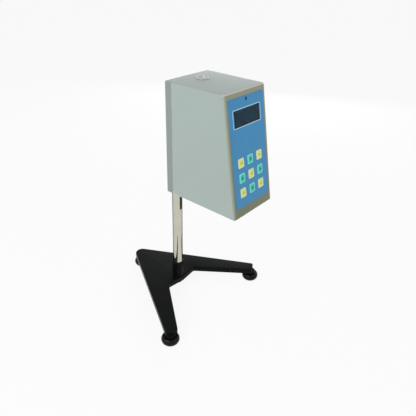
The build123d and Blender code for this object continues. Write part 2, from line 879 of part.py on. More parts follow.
mount_back_y = back_y - wall
mount_front_y = mount_back_y - mount_plate_thickness
with BuildPart() as mounting_plate:
    with BuildSketch(Plane.XZ.offset(-mount_back_y)):
        with Locations((0, head_base + floor_thickness + mount_plate_height / 2)):
            Rectangle(mount_plate_width, mount_plate_height)
        with Locations((0, head_base + floor_thickness + mount_tongue_height / 2)):
            Rectangle(mount_tongue_width, mount_tongue_height)
    extrude(amount=mount_plate_thickness)
    with BuildSketch(Plane((0, mount_front_y - mount_foot_depth / 2, head_base + floor_thickness))):
        Rectangle(mount_plate_width, mount_foot_depth)
    extrude(amount=mount_plate_thickness)
    with BuildSketch(Plane.XZ.offset(-mount_back_y)):
        with Locations(*bracket_screw_points):
            Circle(m4_radius + running_gap)
    extrude(amount=mount_plate_thickness, mode=Mode.SUBTRACT)
save(mounting_plate.part, "mounting_plate")

# ---- spindle, drive and motor -------------------------------------------------------------

collar_top = head_base + floor_thickness + collar_flange_height
with BuildPart() as guard_collar:
    with BuildSketch(Plane((0, spindle_y, head_base - collar_drop))):
        Circle(collar_radius)
    extrude(amount=collar_drop)
    with BuildSketch(Plane((0, spindle_y, head_base))):
        Circle(collar_spigot_radius)
    extrude(amount=floor_thickness)
    with BuildSketch(Plane((0, spindle_y, head_base + floor_thickness))):
        Circle(collar_flange_radius)
    extrude(amount=collar_flange_height)
    with BuildSketch(Plane((0, spindle_y, head_base - collar_drop))):
        Circle(collar_bore_radius)
    extrude(amount=collar_drop + floor_thickness + collar_flange_height, mode=Mode.SUBTRACT)
    with BuildSketch(Plane((0, spindle_y, collar_top))):
        Circle(bearing_radius + seat_gap)
    extrude(amount=-bearing_height, mode=Mode.SUBTRACT)
save(guard_collar.part, "guard_collar")

with BuildPart() as lower_bearing:
    with BuildSketch(Plane((0, spindle_y, collar_top))):
        Circle(bearing_radius)
        Circle(spindle_radius + running_gap, mode=Mode.SUBTRACT)
    extrude(amount=-bearing_height)
save(lower_bearing.part, "lower_bearing")

with BuildPart() as pivot_shaft:
    with BuildSketch(Plane((0, spindle_y, head_base - stud_drop))):
        Circle(thread_radius)
    extrude(amount=thread_length)
    with BuildSketch(Plane((0, spindle_y, head_base - stud_drop + thread_length))):
        Circle(spindle_radius)
    extrude(amount=stud_drop - thread_length + pivot_top)
save(pivot_shaft.part, "pivot_shaft")

with BuildPart() as spindle_coupling:
    with BuildSketch(Plane((0, spindle_y, head_base - coupling_drop))):
        Circle(coupling_radius)
        with PolarLocations(coupling_radius + coupling_flute_radius / 2, coupling_flutes):
            Circle(coupling_flute_radius, mode=Mode.SUBTRACT)
        Circle(spindle_radius + grip_gap, mode=Mode.SUBTRACT)
    extrude(amount=coupling_height)
save(spindle_coupling.part, "spindle_coupling")


def slotted_disc(height, hub_bottom, hub_height):
    """encoder disc on a hub, with its slots inside the rim"""
    with BuildPart() as disc:
        with BuildSketch(Plane((0, spindle_y, head_base + height))):
            Circle(disc_radius)
            with PolarLocations(disc_slot_centre, disc_slots):
                Rectangle(disc_slot_length, disc_slot_width, mode=Mode.SUBTRACT)
        extrude(amount=disc_thickness)
        with BuildSketch(Plane((0, spindle_y, head_base + hub_bottom))):
            Circle(hub_radius)
        extrude(amount=hub_height)
        with BuildSketch(Plane((0, spindle_y, head_base + hub_bottom))):
            Circle(spindle_radius + grip_gap)
        extrude(amount=hub_height, mode=Mode.SUBTRACT)
    return disc.part


driven_hub_bottom = driven_disc_height + disc_thickness - driven_hub_height
driven_disc = slotted_disc(driven_disc_height, driven_hub_bottom, driven_hub_height)
save(driven_disc, "driven_disc")

drive_hub_bottom = drive_disc_height - drive_hub_drop
with BuildPart() as drive_disc:
    add(slotted_disc(drive_disc_height, drive_hub_bottom, drive_hub_height))
    with BuildSketch(Plane((peg_offset, spindle_y, head_base + drive_disc_height))):
        Circle(peg_radius)
    extrude(amount=-(drive_disc_height - spring_height))
save(drive_disc.part, "drive_disc")

drive_shaft_bottom = head_base + pivot_top + shaft_end_gap
drive_shaft_top = drive_shaft_bottom + drive_shaft_length
motor_bottom = head_base + pillar_top + motor_plate_thickness
with BuildPart() as drive_shaft:
    with BuildSketch(Plane((0, spindle_y, drive_shaft_bottom))):
        Circle(spindle_radius)
    extrude(amount=drive_shaft_length)
save(drive_shaft.part, "drive_shaft")


def spiral(offset):
    """points of the flat spiral, offset across the strip"""
    steps = 12 * spring_turns
    growth = (spring_outer_radius - spring_inner_radius) / steps
    radii = [spring_inner_radius + growth * k + offset for k in range(steps + 1)]
    return [Vector(radius, 0).rotate(Axis.Z, 30 * k) for k, radius in enumerate(radii)]


with BuildPart() as hairspring:
    with BuildSketch(Plane((0, spindle_y, head_base + spring_height))):
        with BuildLine():
            inside = Spline(*spiral(-spring_strip / 2))
            outside = Spline(*spiral(spring_strip / 2))
            Line(inside @ 0, outside @ 0)
            Line(inside @ 1, outside @ 1)
        make_face()
    extrude(amount=spring_width)
save(hairspring.part, "hairspring")



def square_points(offset):
    """four points round the spindle axis"""
    return [(x, spindle_y + y) for x in (-offset, offset) for y in (-offset, offset)]


pillar_points = square_points(pillar_offset)
with BuildPart() as frame_pillars:
    with BuildSketch(Plane.XY.offset(head_base + floor_thickness)):
        with Locations(*pillar_points):
            RegularPolygon(pillar_radius, 6, major_radius=False)
    extrude(amount=pillar_top - floor_thickness)
save(frame_pillars.part, "frame_pillars")

motor_screw_points = square_points(motor_screw_offset)
with BuildPart() as motor_plate:
    with BuildSketch(Plane.XY.offset(head_base + pillar_top)):
        with Locations((0, spindle_y)):
            RectangleRounded(motor_plate_width, motor_plate_width, pillar_radius)
            Circle(motor_plate_bore_radius, mode=Mode.SUBTRACT)
        with Locations(*motor_screw_points):
            Circle(m3_radius + screw_hole_gap, mode=Mode.SUBTRACT)
    extrude(amount=motor_plate_thickness)
save(motor_plate.part, "motor_plate")

with BuildPart() as motor:
    with BuildSketch(Plane.XY.offset(motor_bottom)):
        with Locations((0, spindle_y)):
            Rectangle(motor_width, motor_width)
    extrude(amount=motor_height)
    chamfer(motor.edges().filter_by(Axis.Z), motor_corner_chamfer)
    with BuildSketch(Plane.XY.offset(motor_bottom)):
        with Locations((0, spindle_y)):
            Circle(spindle_radius + running_gap)
    extrude(amount=drive_shaft_top - motor_bottom + blind_end, mode=Mode.SUBTRACT)
    with BuildSketch(Plane.XY.offset(motor_bottom)):
        with Locations(*motor_screw_points):
            Circle(m3_radius + running_gap)
    extrude(amount=motor_screw_reach + blind_end, mode=Mode.SUBTRACT)
save(motor.part, "motor")

with BuildPart() as motor_screws:
    with BuildSketch(Plane.XY.offset(head_base + pillar_top)):
        with Locations(*motor_screw_points):
            Circle(m3_radius)
    extrude(amount=motor_plate_thickness + motor_screw_reach)
    with BuildSketch(Plane.XY.offset(head_base + pillar_top)):
        with Locations(*motor_screw_points):
            Circle(m3_head_radius)
    extrude(amount=-m3_head_height)
save(motor_screws.part, "motor_screws")

# light barriers that read the two discs, on a board of their own
sensor_y = spindle_y + (sensor_inner_reach + sensor_outer_reach) / 2
with BuildPart() as sensor_board:
    with BuildSketch(Plane.XY.offset(head_base + floor_thickness)):
        with Locations((0, spindle_y + sensor_outer_reach + board_thickness / 2)):
            Rectangle(sensor_board_width, board_thickness)
    extrude(amount=sensor_board_height)
    for height in (driven_disc_height, drive_disc_height):
        middle = head_base + height + disc_thickness / 2
        with BuildSketch(Plane((0, sensor_y, middle - sensor_half_height))):
            Rectangle(2 * sensor_half_width, sensor_outer_reach - sensor_inner_reach)
        extrude(amount=2 * sensor_half_height)
        with BuildSketch(Plane((0, spindle_y, middle - sensor_slot_half))):
            with Locations((0, (sensor_inner_reach + sensor_slot_reach) / 2)):
                Rectangle(2 * sensor_half_width, sensor_slot_reach - sensor_inner_reach)
        extrude(amount=2 * sensor_slot_half, mode=Mode.SUBTRACT)
save(sensor_board.part, "sensor_board")

# ---- circuit boards -----------------------------------------------------------------------

main_board_y = mount_front_y - main_board_gap
power_board_y = mount_front_y - power_board_gap
main_board_z = head_base + main_board_bottom
power_board_z = head_base + power_board_bottom
main_spacers = [
    (x, z)
    for x in (-spacer_x, spacer_x)
    for z in (main_board_z + spacer_inset, main_board_z + main_board_height - spacer_inset)
]
power_spacers = [
    (x, z)
    for x in (-spacer_x, spacer_x)
    for z in (power_board_z + spacer_inset, power_board_z + power_board_height - spacer_inset)
]
with BuildPart() as board_spacers:
    with BuildSketch(Plane.XZ.offset(-mount_front_y)):
        with Locations(*main_spacers):
            Circle(spacer_radius)
    extrude(amount=main_board_gap)
    with BuildSketch(Plane.XZ.offset(-mount_front_y)):
        with Locations(*power_spacers):
            Circle(spacer_radius)
    extrude(amount=power_board_gap)
save(board_spacers.part, "board_spacers")

with BuildPart() as main_board:
    with BuildSketch(Plane.XZ.offset(-main_board_y)):
        with Locations((0, main_board_z + main_board_height / 2)):
            Rectangle(board_width, main_board_height)
    extrude(amount=board_thickness)
save(main_board.part, "main_board")

with BuildPart() as power_board:
    with BuildSketch(Plane.XZ.offset(-power_board_y)):
        with Locations((0, power_board_z + power_board_height / 2)):
            Rectangle(board_width, power_board_height)
    extrude(amount=board_thickness)
    with BuildSketch(Plane.XZ.offset(-power_board_y + board_thickness)):
        with Locations((0, power_board_z + transformer_rise + transformer_height / 2)):
            Rectangle(transformer_width, transformer_height)
    extrude(amount=transformer_depth)
save(power_board.part, "power_board")

# ---- panel --------------------------------------------------------------------------------

overlay_height = overlay_bottom - overlay_top
with BuildPart() as panel_overlay:
    with BuildSketch(panel):
        with Locations((0, -(overlay_top + overlay_bottom) / 2)):
            RectangleRounded(overlay_width, overlay_height, overlay_corner_radius)
        with Locations(*key_points):
            Rectangle(key_width + 2 * key_gap, key_height + 2 * key_gap, mode=Mode.SUBTRACT)
        with Locations((0, -window_centre)):
            Rectangle(window_width, window_height, mode=Mode.SUBTRACT)
        with Locations((0, -led_down)):
            Circle(led_radius + running_gap, mode=Mode.SUBTRACT)
    extrude(amount=overlay_thickness)
save(panel_overlay.part, "panel_overlay")

with BuildPart() as display_window:
    with BuildSketch(panel):
        with Locations((0, -window_centre)):
            Rectangle(window_width + 2 * window_lap, window_height + 2 * window_lap)
    extrude(amount=-window_thickness)
save(display_window.part, "display_window")

with BuildPart() as display_module:
    with BuildSketch(panel.offset(-wall - display_bezel_gap)):
        with Locations((0, -window_centre)):
            Rectangle(display_bezel_width, display_bezel_height)
    extrude(amount=-display_bezel_depth)
    with BuildSketch(panel.offset(-display_board_depth)):
        with Locations((0, -window_centre)):
            Rectangle(display_board_width, display_board_height)
    extrude(amount=-board_thickness)
save(display_module.part, "display_module")

with BuildPart() as keypad_board:
    with BuildSketch(panel.offset(-keypad_board_depth)):
        with Locations((0, -key_centre)):
            Rectangle(keypad_board_width, keypad_board_height)
    extrude(amount=-board_thickness)
    with BuildSketch(panel.offset(-keypad_board_depth)):
        with Locations(*key_points):
            Rectangle(switch_width, switch_width)
    extrude(amount=switch_height)
save(keypad_board.part, "keypad_board")

key_flange_depth = wall + key_gap
for number, point in enumerate(key_points, start=1):
    with BuildPart() as key:
        with BuildSketch(panel.offset(-key_flange_depth)):
            with Locations(point):
                RectangleRounded(key_width, key_height, key_corner_radius)
        extrude(amount=key_flange_depth + key_rise)
        fillet(key.faces().sort_by(Axis.Y)[0].edges(), key_corner_radius / 3)
        with BuildSketch(panel.offset(-key_flange_depth)):
            with Locations(point):
                Rectangle(key_width + 2 * key_flange_lap, key_height + 2 * key_flange_lap)
        extrude(amount=-key_flange_thickness)
        with BuildSketch(panel.offset(-key_flange_depth - key_flange_thickness)):
            with Locations(point):
                Circle(key_stem_radius)
        extrude(amount=-(key_stem_end - key_flange_depth - key_flange_thickness))
    save(key.part, f"key_{number}")

with BuildPart() as power_led:
    with BuildSketch(panel.offset(overlay_thickness)):
        with Locations((0, -led_down)):
            Circle(led_radius)
    extrude(amount=-(overlay_thickness + wall))
    with BuildSketch(panel.offset(-wall)):
        with Locations((0, -led_down)):
            Circle(led_radius + led_flange_width)
    extrude(amount=-led_flange_height)
save(power_led.part, "power_led")

# ---- bubble level -------------------------------------------------------------------------

with BuildPart() as level_cup:
    with BuildSketch(upright(0, level_y)):
        with BuildLine():
            cup_bottom = head_top - level_body_depth
            cup_top = head_top + level_flange_height
            glass_seat = cup_top - level_glass_recess - level_glass_thickness
            Polyline(
                (0, cup_bottom),
                (level_body_radius, cup_bottom),
                (level_body_radius, head_top),
                (level_flange_radius, head_top),
                (level_flange_radius, cup_top - level_chamfer),
                (level_flange_radius - level_chamfer, cup_top),
                (level_glass_radius + running_gap, cup_top),
                (level_glass_radius + running_gap, glass_seat),
                (level_bore_radius, glass_seat),
                (level_bore_radius, cup_bottom + level_floor),
                (0, cup_bottom + level_floor),
                close=True,
            )
        make_face()
    revolve(axis=Axis((0, level_y, 0), (0, 0, 1)))
save(level_cup.part, "level_cup")

with BuildPart() as level_glass:
    with BuildSketch(Plane((0, level_y, glass_seat))):
        Circle(level_glass_radius)
    extrude(amount=level_glass_thickness)
save(level_glass.part, "level_glass")

# ---- rear sockets and switch --------------------------------------------------------------



def socket_plane(name):
    """plane on the head's back at a socket, whose normal points into the head"""
    x, z = socket_places[name]
    return Plane(origin=(x, back_y, z), x_dir=(1, 0, 0), z_dir=(0, -1, 0))


inlet_place = socket_plane("inlet")
with BuildPart() as power_inlet:
    with BuildSketch(inlet_place):
        RectangleRounded(inlet_flange_width, inlet_flange_height, socket_corner_radius)
    extrude(amount=-inlet_flange_thickness)
    with BuildSketch(inlet_place):
        Rectangle(inlet_body_width, inlet_body_height)
    extrude(amount=inlet_body_depth)
    with BuildSketch(inlet_place.offset(-inlet_flange_thickness)):
        RectangleRounded(inlet_mouth_width, inlet_mouth_height, socket_corner_radius)
    extrude(amount=inlet_mouth_depth, mode=Mode.SUBTRACT)
    with BuildSketch(inlet_place.offset(inlet_mouth_depth - inlet_flange_thickness)):
        with Locations(
            (-inlet_pin_offset, inlet_pin_pitch), (inlet_pin_offset, 0), (-inlet_pin_offset, -inlet_pin_pitch)
        ):
            Rectangle(inlet_pin_width, inlet_pin_thickness)
    extrude(amount=-(inlet_mouth_depth - inlet_pin_recess))
save(power_inlet.part, "power_inlet")

switch_place = socket_plane("switch")
switch_z = head_top - switch_drop
pivot_hole_reach = rocker_pivot_reach + running_gap
with BuildPart() as power_switch:
    with BuildSketch(switch_place):
        Rectangle(switch_body_width + 2 * rocker_flange, switch_body_height + 2 * rocker_flange)
    extrude(amount=-rocker_flange_thickness)
    with BuildSketch(switch_place):
        Rectangle(switch_body_width, switch_body_height)
    extrude(amount=rocker_body_depth)
    with BuildSketch(switch_place.offset(-rocker_flange_thickness)):
        Rectangle(rocker_width, rocker_height)
    extrude(amount=rocker_body_depth, mode=Mode.SUBTRACT)
    with BuildSketch(Plane.YZ.offset(switch_x - rocker_width / 2 - pivot_hole_reach)):
        with Locations((back_y, switch_z)):
            Circle(rocker_pivot_radius + running_gap)
    extrude(amount=rocker_width + 2 * pivot_hole_reach, mode=Mode.SUBTRACT)
save(power_switch.part, "power_switch")

rocker_half = rocker_height / 2 - rocker_gap
rocker_plane = Plane.YZ.offset(switch_x - rocker_width / 2 + fit_gap)
with BuildPart() as switch_rocker:
    with BuildSketch(rocker_plane):
        with Locations((back_y, switch_z)):
            with Locations(Location((0, 0), -rocker_tilt)):
                Polygon(
                    (-rocker_depth, rocker_foot_inset - rocker_half),
                    (-rocker_depth, rocker_half - rocker_foot_inset),
                    (0, rocker_half - rocker_waist_inset),
                    (rocker_crown, rocker_half - rocker_tip_inset),
                    (rocker_crown / 2, 0),
                    (rocker_crown, rocker_tip_inset - rocker_half),
                    (0, rocker_waist_inset - rocker_half),
                    align=None,
                )
    extrude(amount=rocker_width - 2 * fit_gap)
    with BuildSketch(Plane.YZ.offset(switch_x - rocker_width / 2 - rocker_pivot_reach)):
        with Locations((back_y, switch_z)):
            Circle(rocker_pivot_radius)
    extrude(amount=rocker_width + 2 * rocker_pivot_reach)
save(switch_rocker.part, "switch_rocker")

port_place = socket_plane("port")
with BuildPart() as serial_port:
    with BuildSketch(port_place):
        Rectangle(port_flange_width, port_flange_height)
    extrude(amount=-port_flange_thickness)
    with BuildSketch(port_place):
        Rectangle(port_body_width, port_body_height)
    extrude(amount=port_body_depth)
    with BuildSketch(port_place.offset(-port_flange_thickness)):
        RectangleRounded(port_shell_width, port_shell_height, socket_corner_radius)
    extrude(amount=-port_shell_length)
save(serial_port.part, "serial_port")
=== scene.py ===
import json
import math

import bpy
from mathutils import Matrix, Vector

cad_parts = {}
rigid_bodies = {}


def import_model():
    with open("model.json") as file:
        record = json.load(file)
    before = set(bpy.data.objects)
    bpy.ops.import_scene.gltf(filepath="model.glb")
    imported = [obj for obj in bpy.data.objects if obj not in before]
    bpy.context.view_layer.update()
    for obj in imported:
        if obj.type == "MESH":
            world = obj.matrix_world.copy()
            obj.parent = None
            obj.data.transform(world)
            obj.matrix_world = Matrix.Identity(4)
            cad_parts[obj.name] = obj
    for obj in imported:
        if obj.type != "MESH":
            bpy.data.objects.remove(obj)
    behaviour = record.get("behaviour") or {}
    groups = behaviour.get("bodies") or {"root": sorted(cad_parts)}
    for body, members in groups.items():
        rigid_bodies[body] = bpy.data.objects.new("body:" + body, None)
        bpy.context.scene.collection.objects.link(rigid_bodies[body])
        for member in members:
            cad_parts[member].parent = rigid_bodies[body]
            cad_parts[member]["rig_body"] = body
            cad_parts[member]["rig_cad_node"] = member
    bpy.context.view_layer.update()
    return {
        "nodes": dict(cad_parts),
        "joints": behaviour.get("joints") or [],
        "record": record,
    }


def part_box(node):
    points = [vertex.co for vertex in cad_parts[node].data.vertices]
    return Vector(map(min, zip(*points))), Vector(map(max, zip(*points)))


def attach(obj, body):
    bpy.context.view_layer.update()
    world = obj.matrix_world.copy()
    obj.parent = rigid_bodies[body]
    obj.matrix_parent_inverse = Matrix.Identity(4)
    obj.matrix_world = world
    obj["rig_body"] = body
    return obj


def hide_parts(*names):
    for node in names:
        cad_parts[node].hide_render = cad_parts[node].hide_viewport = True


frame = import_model()
nodes = frame["nodes"]
scene = bpy.context.scene
mm = 0.001
tiny = 0.001 * mm
print("frame loaded:", len(nodes), "nodes")


def deselectAll():
    bpy.ops.object.select_all(action="DESELECT")


def editMode():
    bpy.ops.object.mode_set(mode="EDIT")


def objectMode():
    bpy.ops.object.mode_set(mode="OBJECT")


def makeActive(piece):
    deselectAll()
    piece.select_set(True)
    bpy.context.view_layer.objects.active = piece


def applyPlace(piece):
    makeActive(piece)
    bpy.ops.object.transform_apply(location=True, rotation=True, scale=True)


def applyModifiers(piece):
    makeActive(piece)
    for modifier in list(piece.modifiers):
        bpy.ops.object.modifier_apply(modifier=modifier.name)


def smoothByAngle(piece, angle=35):
    makeActive(piece)
    bpy.ops.object.shade_smooth_by_angle(angle=math.radians(angle))


def finishPiece(piece, name, material, body, stands=(), angle=35):
    piece.name = name
    piece.data.name = name
    applyModifiers(piece)
    applyPlace(piece)
    smoothByAngle(piece, angle)
    piece.data.materials.clear()
    piece.data.materials.append(material)
    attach(piece, body)
    if stands:
        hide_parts(*stands)
    return piece


def joinPieces(pieces):
    deselectAll()
    for piece in pieces:
        piece.select_set(True)
    bpy.context.view_layer.objects.active = pieces[0]
    if len(pieces) > 1:
        bpy.ops.object.join()
    return bpy.context.view_layer.objects.active


def middle(low, high):
    return (low + high) / 2


bodies = frame["record"]["behaviour"]["bodies"]
bodyOf = {node: body for body, members in bodies.items() for node in members}
slotOf = {entry["node"]: entry["material_slot"] for entry in frame["record"]["subparts"]}
jointOf = {joint["name"]: joint for joint in frame["joints"]}


def newGroup(name, inputs, outputs):
    group = bpy.data.node_groups.new(name, "ShaderNodeTree")
    for label, kind, value in inputs:
        socket = group.interface.new_socket(label, in_out="INPUT", socket_type=kind)
        if value is not None:
            socket.default_value = value
    for label, kind in outputs:
        group.interface.new_socket(label, in_out="OUTPUT", socket_type=kind)
    source = group.nodes.new("NodeGroupInput")
    sink = group.nodes.new("NodeGroupOutput")
    return group, source, sink


def addNode(tree, kind, settings=None, values=None):
    node = tree.nodes.new(kind)
    for key, value in (settings or {}).items():
        setattr(node, key, value)
    for key, value in (values or {}).items():
        node.inputs[key].default_value = value
    return node


def joinSockets(tree, start, end):
    tree.links.new(start, end)


def mathNode(tree, operation, first, second=None, clamp=False):
    node = tree.nodes.new("ShaderNodeMath")
    node.operation = operation
    node.use_clamp = clamp
    for index, value in enumerate((first, second)):
        if value is None:
            continue
        if isinstance(value, (int, float)):
            node.inputs[index].default_value = value
        else:
            joinSockets(tree, value, node.inputs[index])
    return node.outputs[0]


mixSockets = {"factor": 0, "first": 6, "second": 7, "result": 2}    # colour sockets of the Mix node


def mixColour(tree, factor, first, second):
    node = tree.nodes.new("ShaderNodeMix")
    node.data_type = "RGBA"
    for value, name in ((factor, "factor"), (first, "first"), (second, "second")):
        socket = node.inputs[mixSockets[name]]
        if isinstance(value, (tuple, list)):
            socket.default_value = (*value, 1)
        else:
            joinSockets(tree, value, socket)
    return node.outputs[mixSockets["result"]]


def rampNode(tree, factor, limits):
    # 0 below the first limit, 1 above the second
    node = tree.nodes.new("ShaderNodeMapRange")
    node.inputs["From Min"].default_value, node.inputs["From Max"].default_value = limits
    joinSockets(tree, factor, node.inputs["Value"])
    return node.outputs["Result"]


def objectPlace(tree):
    return tree.nodes.new("ShaderNodeTexCoord").outputs["Object"]


def noiseNode(tree, place, values):
    node = addNode(tree, "ShaderNodeTexNoise", {}, values)
    joinSockets(tree, place, node.inputs["Vector"])
    return node


edgeWearAndHighlightLook = {
    "samples": 6,
    "edge": (0.01, 0.16),       # how far the rounded normal turns where the edge mask (wear, and on some paints a painted highlight) starts and where it is full
    "patch": (0.42, 0.66),
    "noise": {"Detail": 5.0, "Roughness": 0.62},
}


def buildEdgeWearAndHighlight():
    # outward edges found by comparing a rounded normal with the true one, broken up by noise; the mask paints
    # edge wear, and on the housing, panel frame and base it also paints a highlight along the rounded edges
    look = edgeWearAndHighlightLook
    group, source, sink = newGroup(
        "edgeWearAndHighlight",
        [
            ("Width", "NodeSocketFloat", 0.001),
            ("Breakup", "NodeSocketFloat", 300.0),
            ("Amount", "NodeSocketFloat", 1.0),
        ],
        [("Mask", "NodeSocketFloat")],
    )
    bevel = addNode(group, "ShaderNodeBevel", {"samples": look["samples"]})
    joinSockets(group, source.outputs["Width"], bevel.inputs["Radius"])
    geometry = group.nodes.new("ShaderNodeNewGeometry")
    dot = addNode(group, "ShaderNodeVectorMath", {"operation": "DOT_PRODUCT"})
    joinSockets(group, bevel.outputs["Normal"], dot.inputs[0])
    joinSockets(group, geometry.outputs["Normal"], dot.inputs[1])
    edge = mathNode(group, "SUBTRACT", 1.0, dot.outputs["Value"])
    edge = rampNode(group, edge, look["edge"])
    noise = noiseNode(group, objectPlace(group), look["noise"])
    joinSockets(group, source.outputs["Breakup"], noise.inputs["Scale"])
    patchy = rampNode(group, noise.outputs["Fac"], look["patch"])
    wornAndLit = mathNode(group, "MULTIPLY", edge, patchy)
    wornAndLit = mathNode(group, "MULTIPLY", wornAndLit, source.outputs["Amount"], clamp=True)
    joinSockets(group, wornAndLit, sink.inputs["Mask"])
    return group


grainLook = {
    "fine": {"Detail": 3.0, "Roughness": 0.55},
    "cloud": {"Detail": 4.0, "Roughness": 0.5},
    "speck": {"Detail": 2.0, "Roughness": 0.8},
    "speckScale": 0.35,         # of the fine grain's scale
    "cloudRange": (0.3, 0.7),
    "speckRange": (0.62, 0.74),
}


def buildGrain():
    # fine surface grain over a slow cloudy unevenness, with sparse specks
    look = grainLook
    group, source, sink = newGroup(
        "surfaceGrain",
        [("Fine", "NodeSocketFloat", 1500.0), ("Cloud", "NodeSocketFloat", 20.0)],
        [("Height", "NodeSocketFloat"), ("Cloudy", "NodeSocketFloat"), ("Speck", "NodeSocketFloat")],
    )
    place = objectPlace(group)
    fine = noiseNode(group, place, look["fine"])
    cloud = noiseNode(group, place, look["cloud"])
    speck = noiseNode(group, place, look["speck"])
    speckScale = mathNode(group, "MULTIPLY", source.outputs["Fine"], look["speckScale"])
    joinSockets(group, source.outputs["Fine"], fine.inputs["Scale"])
    joinSockets(group, source.outputs["Cloud"], cloud.inputs["Scale"])
    joinSockets(group, speckScale, speck.inputs["Scale"])
    joinSockets(group, fine.outputs["Fac"], sink.inputs["Height"])
    joinSockets(group, rampNode(group, cloud.outputs["Fac"], look["cloudRange"]), sink.inputs["Cloudy"])
    joinSockets(group, rampNode(group, speck.outputs["Fac"], look["speckRange"]), sink.inputs["Speck"])
    return group


dustLook = {
    "noise": {"Detail": 6.0, "Roughness": 0.65},
    "facing": (0.3, 1.0),
    "patch": (0.35, 0.75),
    "colour": (0.55, 0.54, 0.5),
}


def buildDust():
    # dust that settles on faces that look up, thicker in patches
    look = dustLook
    group, source, sink = newGroup(
        "settledDust",
        [("Amount", "NodeSocketFloat", 0.2), ("Scale", "NodeSocketFloat", 60.0)],
        [("Mask", "NodeSocketFloat")],
    )
    geometry = group.nodes.new("ShaderNodeNewGeometry")
    split = group.nodes.new("ShaderNodeSeparateXYZ")
    joinSockets(group, geometry.outputs["Normal"], split.inputs[0])
    noise = noiseNode(group, objectPlace(group), look["noise"])
    joinSockets(group, source.outputs["Scale"], noise.inputs["Scale"])
    facing = rampNode(group, split.outputs["Z"], look["facing"])
    patch = rampNode(group, noise.outputs["Fac"], look["patch"])
    mask = mathNode(group, "MULTIPLY", facing, patch)
    mask = mathNode(group, "MULTIPLY", mask, source.outputs["Amount"], clamp=True)
    joinSockets(group, mask, sink.inputs["Mask"])
    return group


edgeWearAndHighlight = buildEdgeWearAndHighlight()
surfaceGrain = buildGrain()
settledDust = buildDust()


def placeGroup(tree, group, values):
    node = tree.nodes.new("ShaderNodeGroup")
    node.node_tree = group
    for key, value in values.items():
        node.inputs[key].default_value = value
    return node


def startMaterial(name, values):
    material = bpy.data.materials.new(name)
    material.use_nodes = True
    tree = material.node_tree
    shader = tree.nodes["Principled BSDF"]
    for key, value in values.items():
        shader.inputs[key].default_value = value
    return material, tree, shader


def addBump(tree, shader, height, strength, distance):
    bump = addNode(tree, "ShaderNodeBump", {}, {"Strength": strength, "Distance": distance})
    joinSockets(tree, height, bump.inputs["Height"])
    joinSockets(tree, bump.outputs["Normal"], shader.inputs["Normal"])
    return bump


def varyRoughness(tree, shader, share, low, high):
    roughness = addNode(tree, "ShaderNodeMapRange", {}, {"To Min": low, "To Max": high})
    joinSockets(tree, share, roughness.inputs["Value"])
    joinSockets(tree, roughness.outputs["Result"], shader.inputs["Roughness"])


def shade(colour, share):
    return tuple(min(1, part * share) for part in colour)


coatedDefaults = {
    "cloud": 18.0,
    "tint": 0.06,
    "speck": 0.12,
    "speckShade": 0.7,
    "wearAndHighlight": 0,
    "wearAndHighlightWidth": 0.9 * mm,
    "dust": 0,
    "roughSpread": 0.06,
    "depth": 0.2 * mm,
    "shader": {},
}


def coatedMaterial(name, values):
    # paint, enamel, print or moulded plastic
    finish = {**coatedDefaults, **values}
    material, tree, shader = startMaterial(name, finish["shader"])
    grain = placeGroup(tree, surfaceGrain, {"Fine": finish["grain"], "Cloud": finish["cloud"]})
    base = finish["colour"]
    dark = shade(base, 1 - finish["tint"])
    light = shade(base, 1 + finish["tint"])
    colour = mixColour(tree, grain.outputs["Cloudy"], dark, light)
    if "paintedShade" in finish:
        # painted shade: colour that darkens slowly down the height of the piece, standing in for light that
        # falls off toward the bottom
        split = tree.nodes.new("ShaderNodeSeparateXYZ")
        joinSockets(tree, objectPlace(tree), split.inputs[0])
        share = rampNode(tree, split.outputs["Z"], finish["paintedShade"]["heights"])
        colour = mixColour(tree, share, colour, finish["paintedShade"]["colour"])
    speckMask = mathNode(tree, "MULTIPLY", grain.outputs["Speck"], finish["speck"])
    colour = mixColour(tree, speckMask, colour, shade(base, finish["speckShade"]))
    # edge wear, which on the housing, panel frame and base also stands in for a painted highlight on the
    # rounded edges
    if finish["wearAndHighlight"] > 0:
        wearAndHighlight = placeGroup(tree, edgeWearAndHighlight, {"Width": finish["wearAndHighlightWidth"], "Amount": finish["wearAndHighlight"]})
        colour = mixColour(tree, wearAndHighlight.outputs["Mask"], colour, finish["wornAndLitEdgeColour"])
    if finish["dust"] > 0:
        dust = placeGroup(tree, settledDust, {"Amount": finish["dust"]})
        colour = mixColour(tree, dust.outputs["Mask"], colour, dustLook["colour"])
    joinSockets(tree, colour, shader.inputs["Base Color"])
    low = finish["rough"] - finish["roughSpread"]
    high = finish["rough"] + finish["roughSpread"]
    varyRoughness(tree, shader, grain.outputs["Cloudy"], low, high)
    addBump(tree, shader, grain.outputs["Height"], finish["bump"], finish["depth"])
    return material


metalDefaults = {
    "cloud": 35.0,
    "fine": 900.0,
    "cloudShade": 0.92,
    "stain": 0.15,
    "stainShade": 0.55,
    "spreadShare": 0.3,         # of the roughness, unless a spread is given
    "depth": 0.1 * mm,
    "noise": {"Scale": 2.0, "Detail": 4.0, "Roughness": 0.6},
    "shader": {},
}


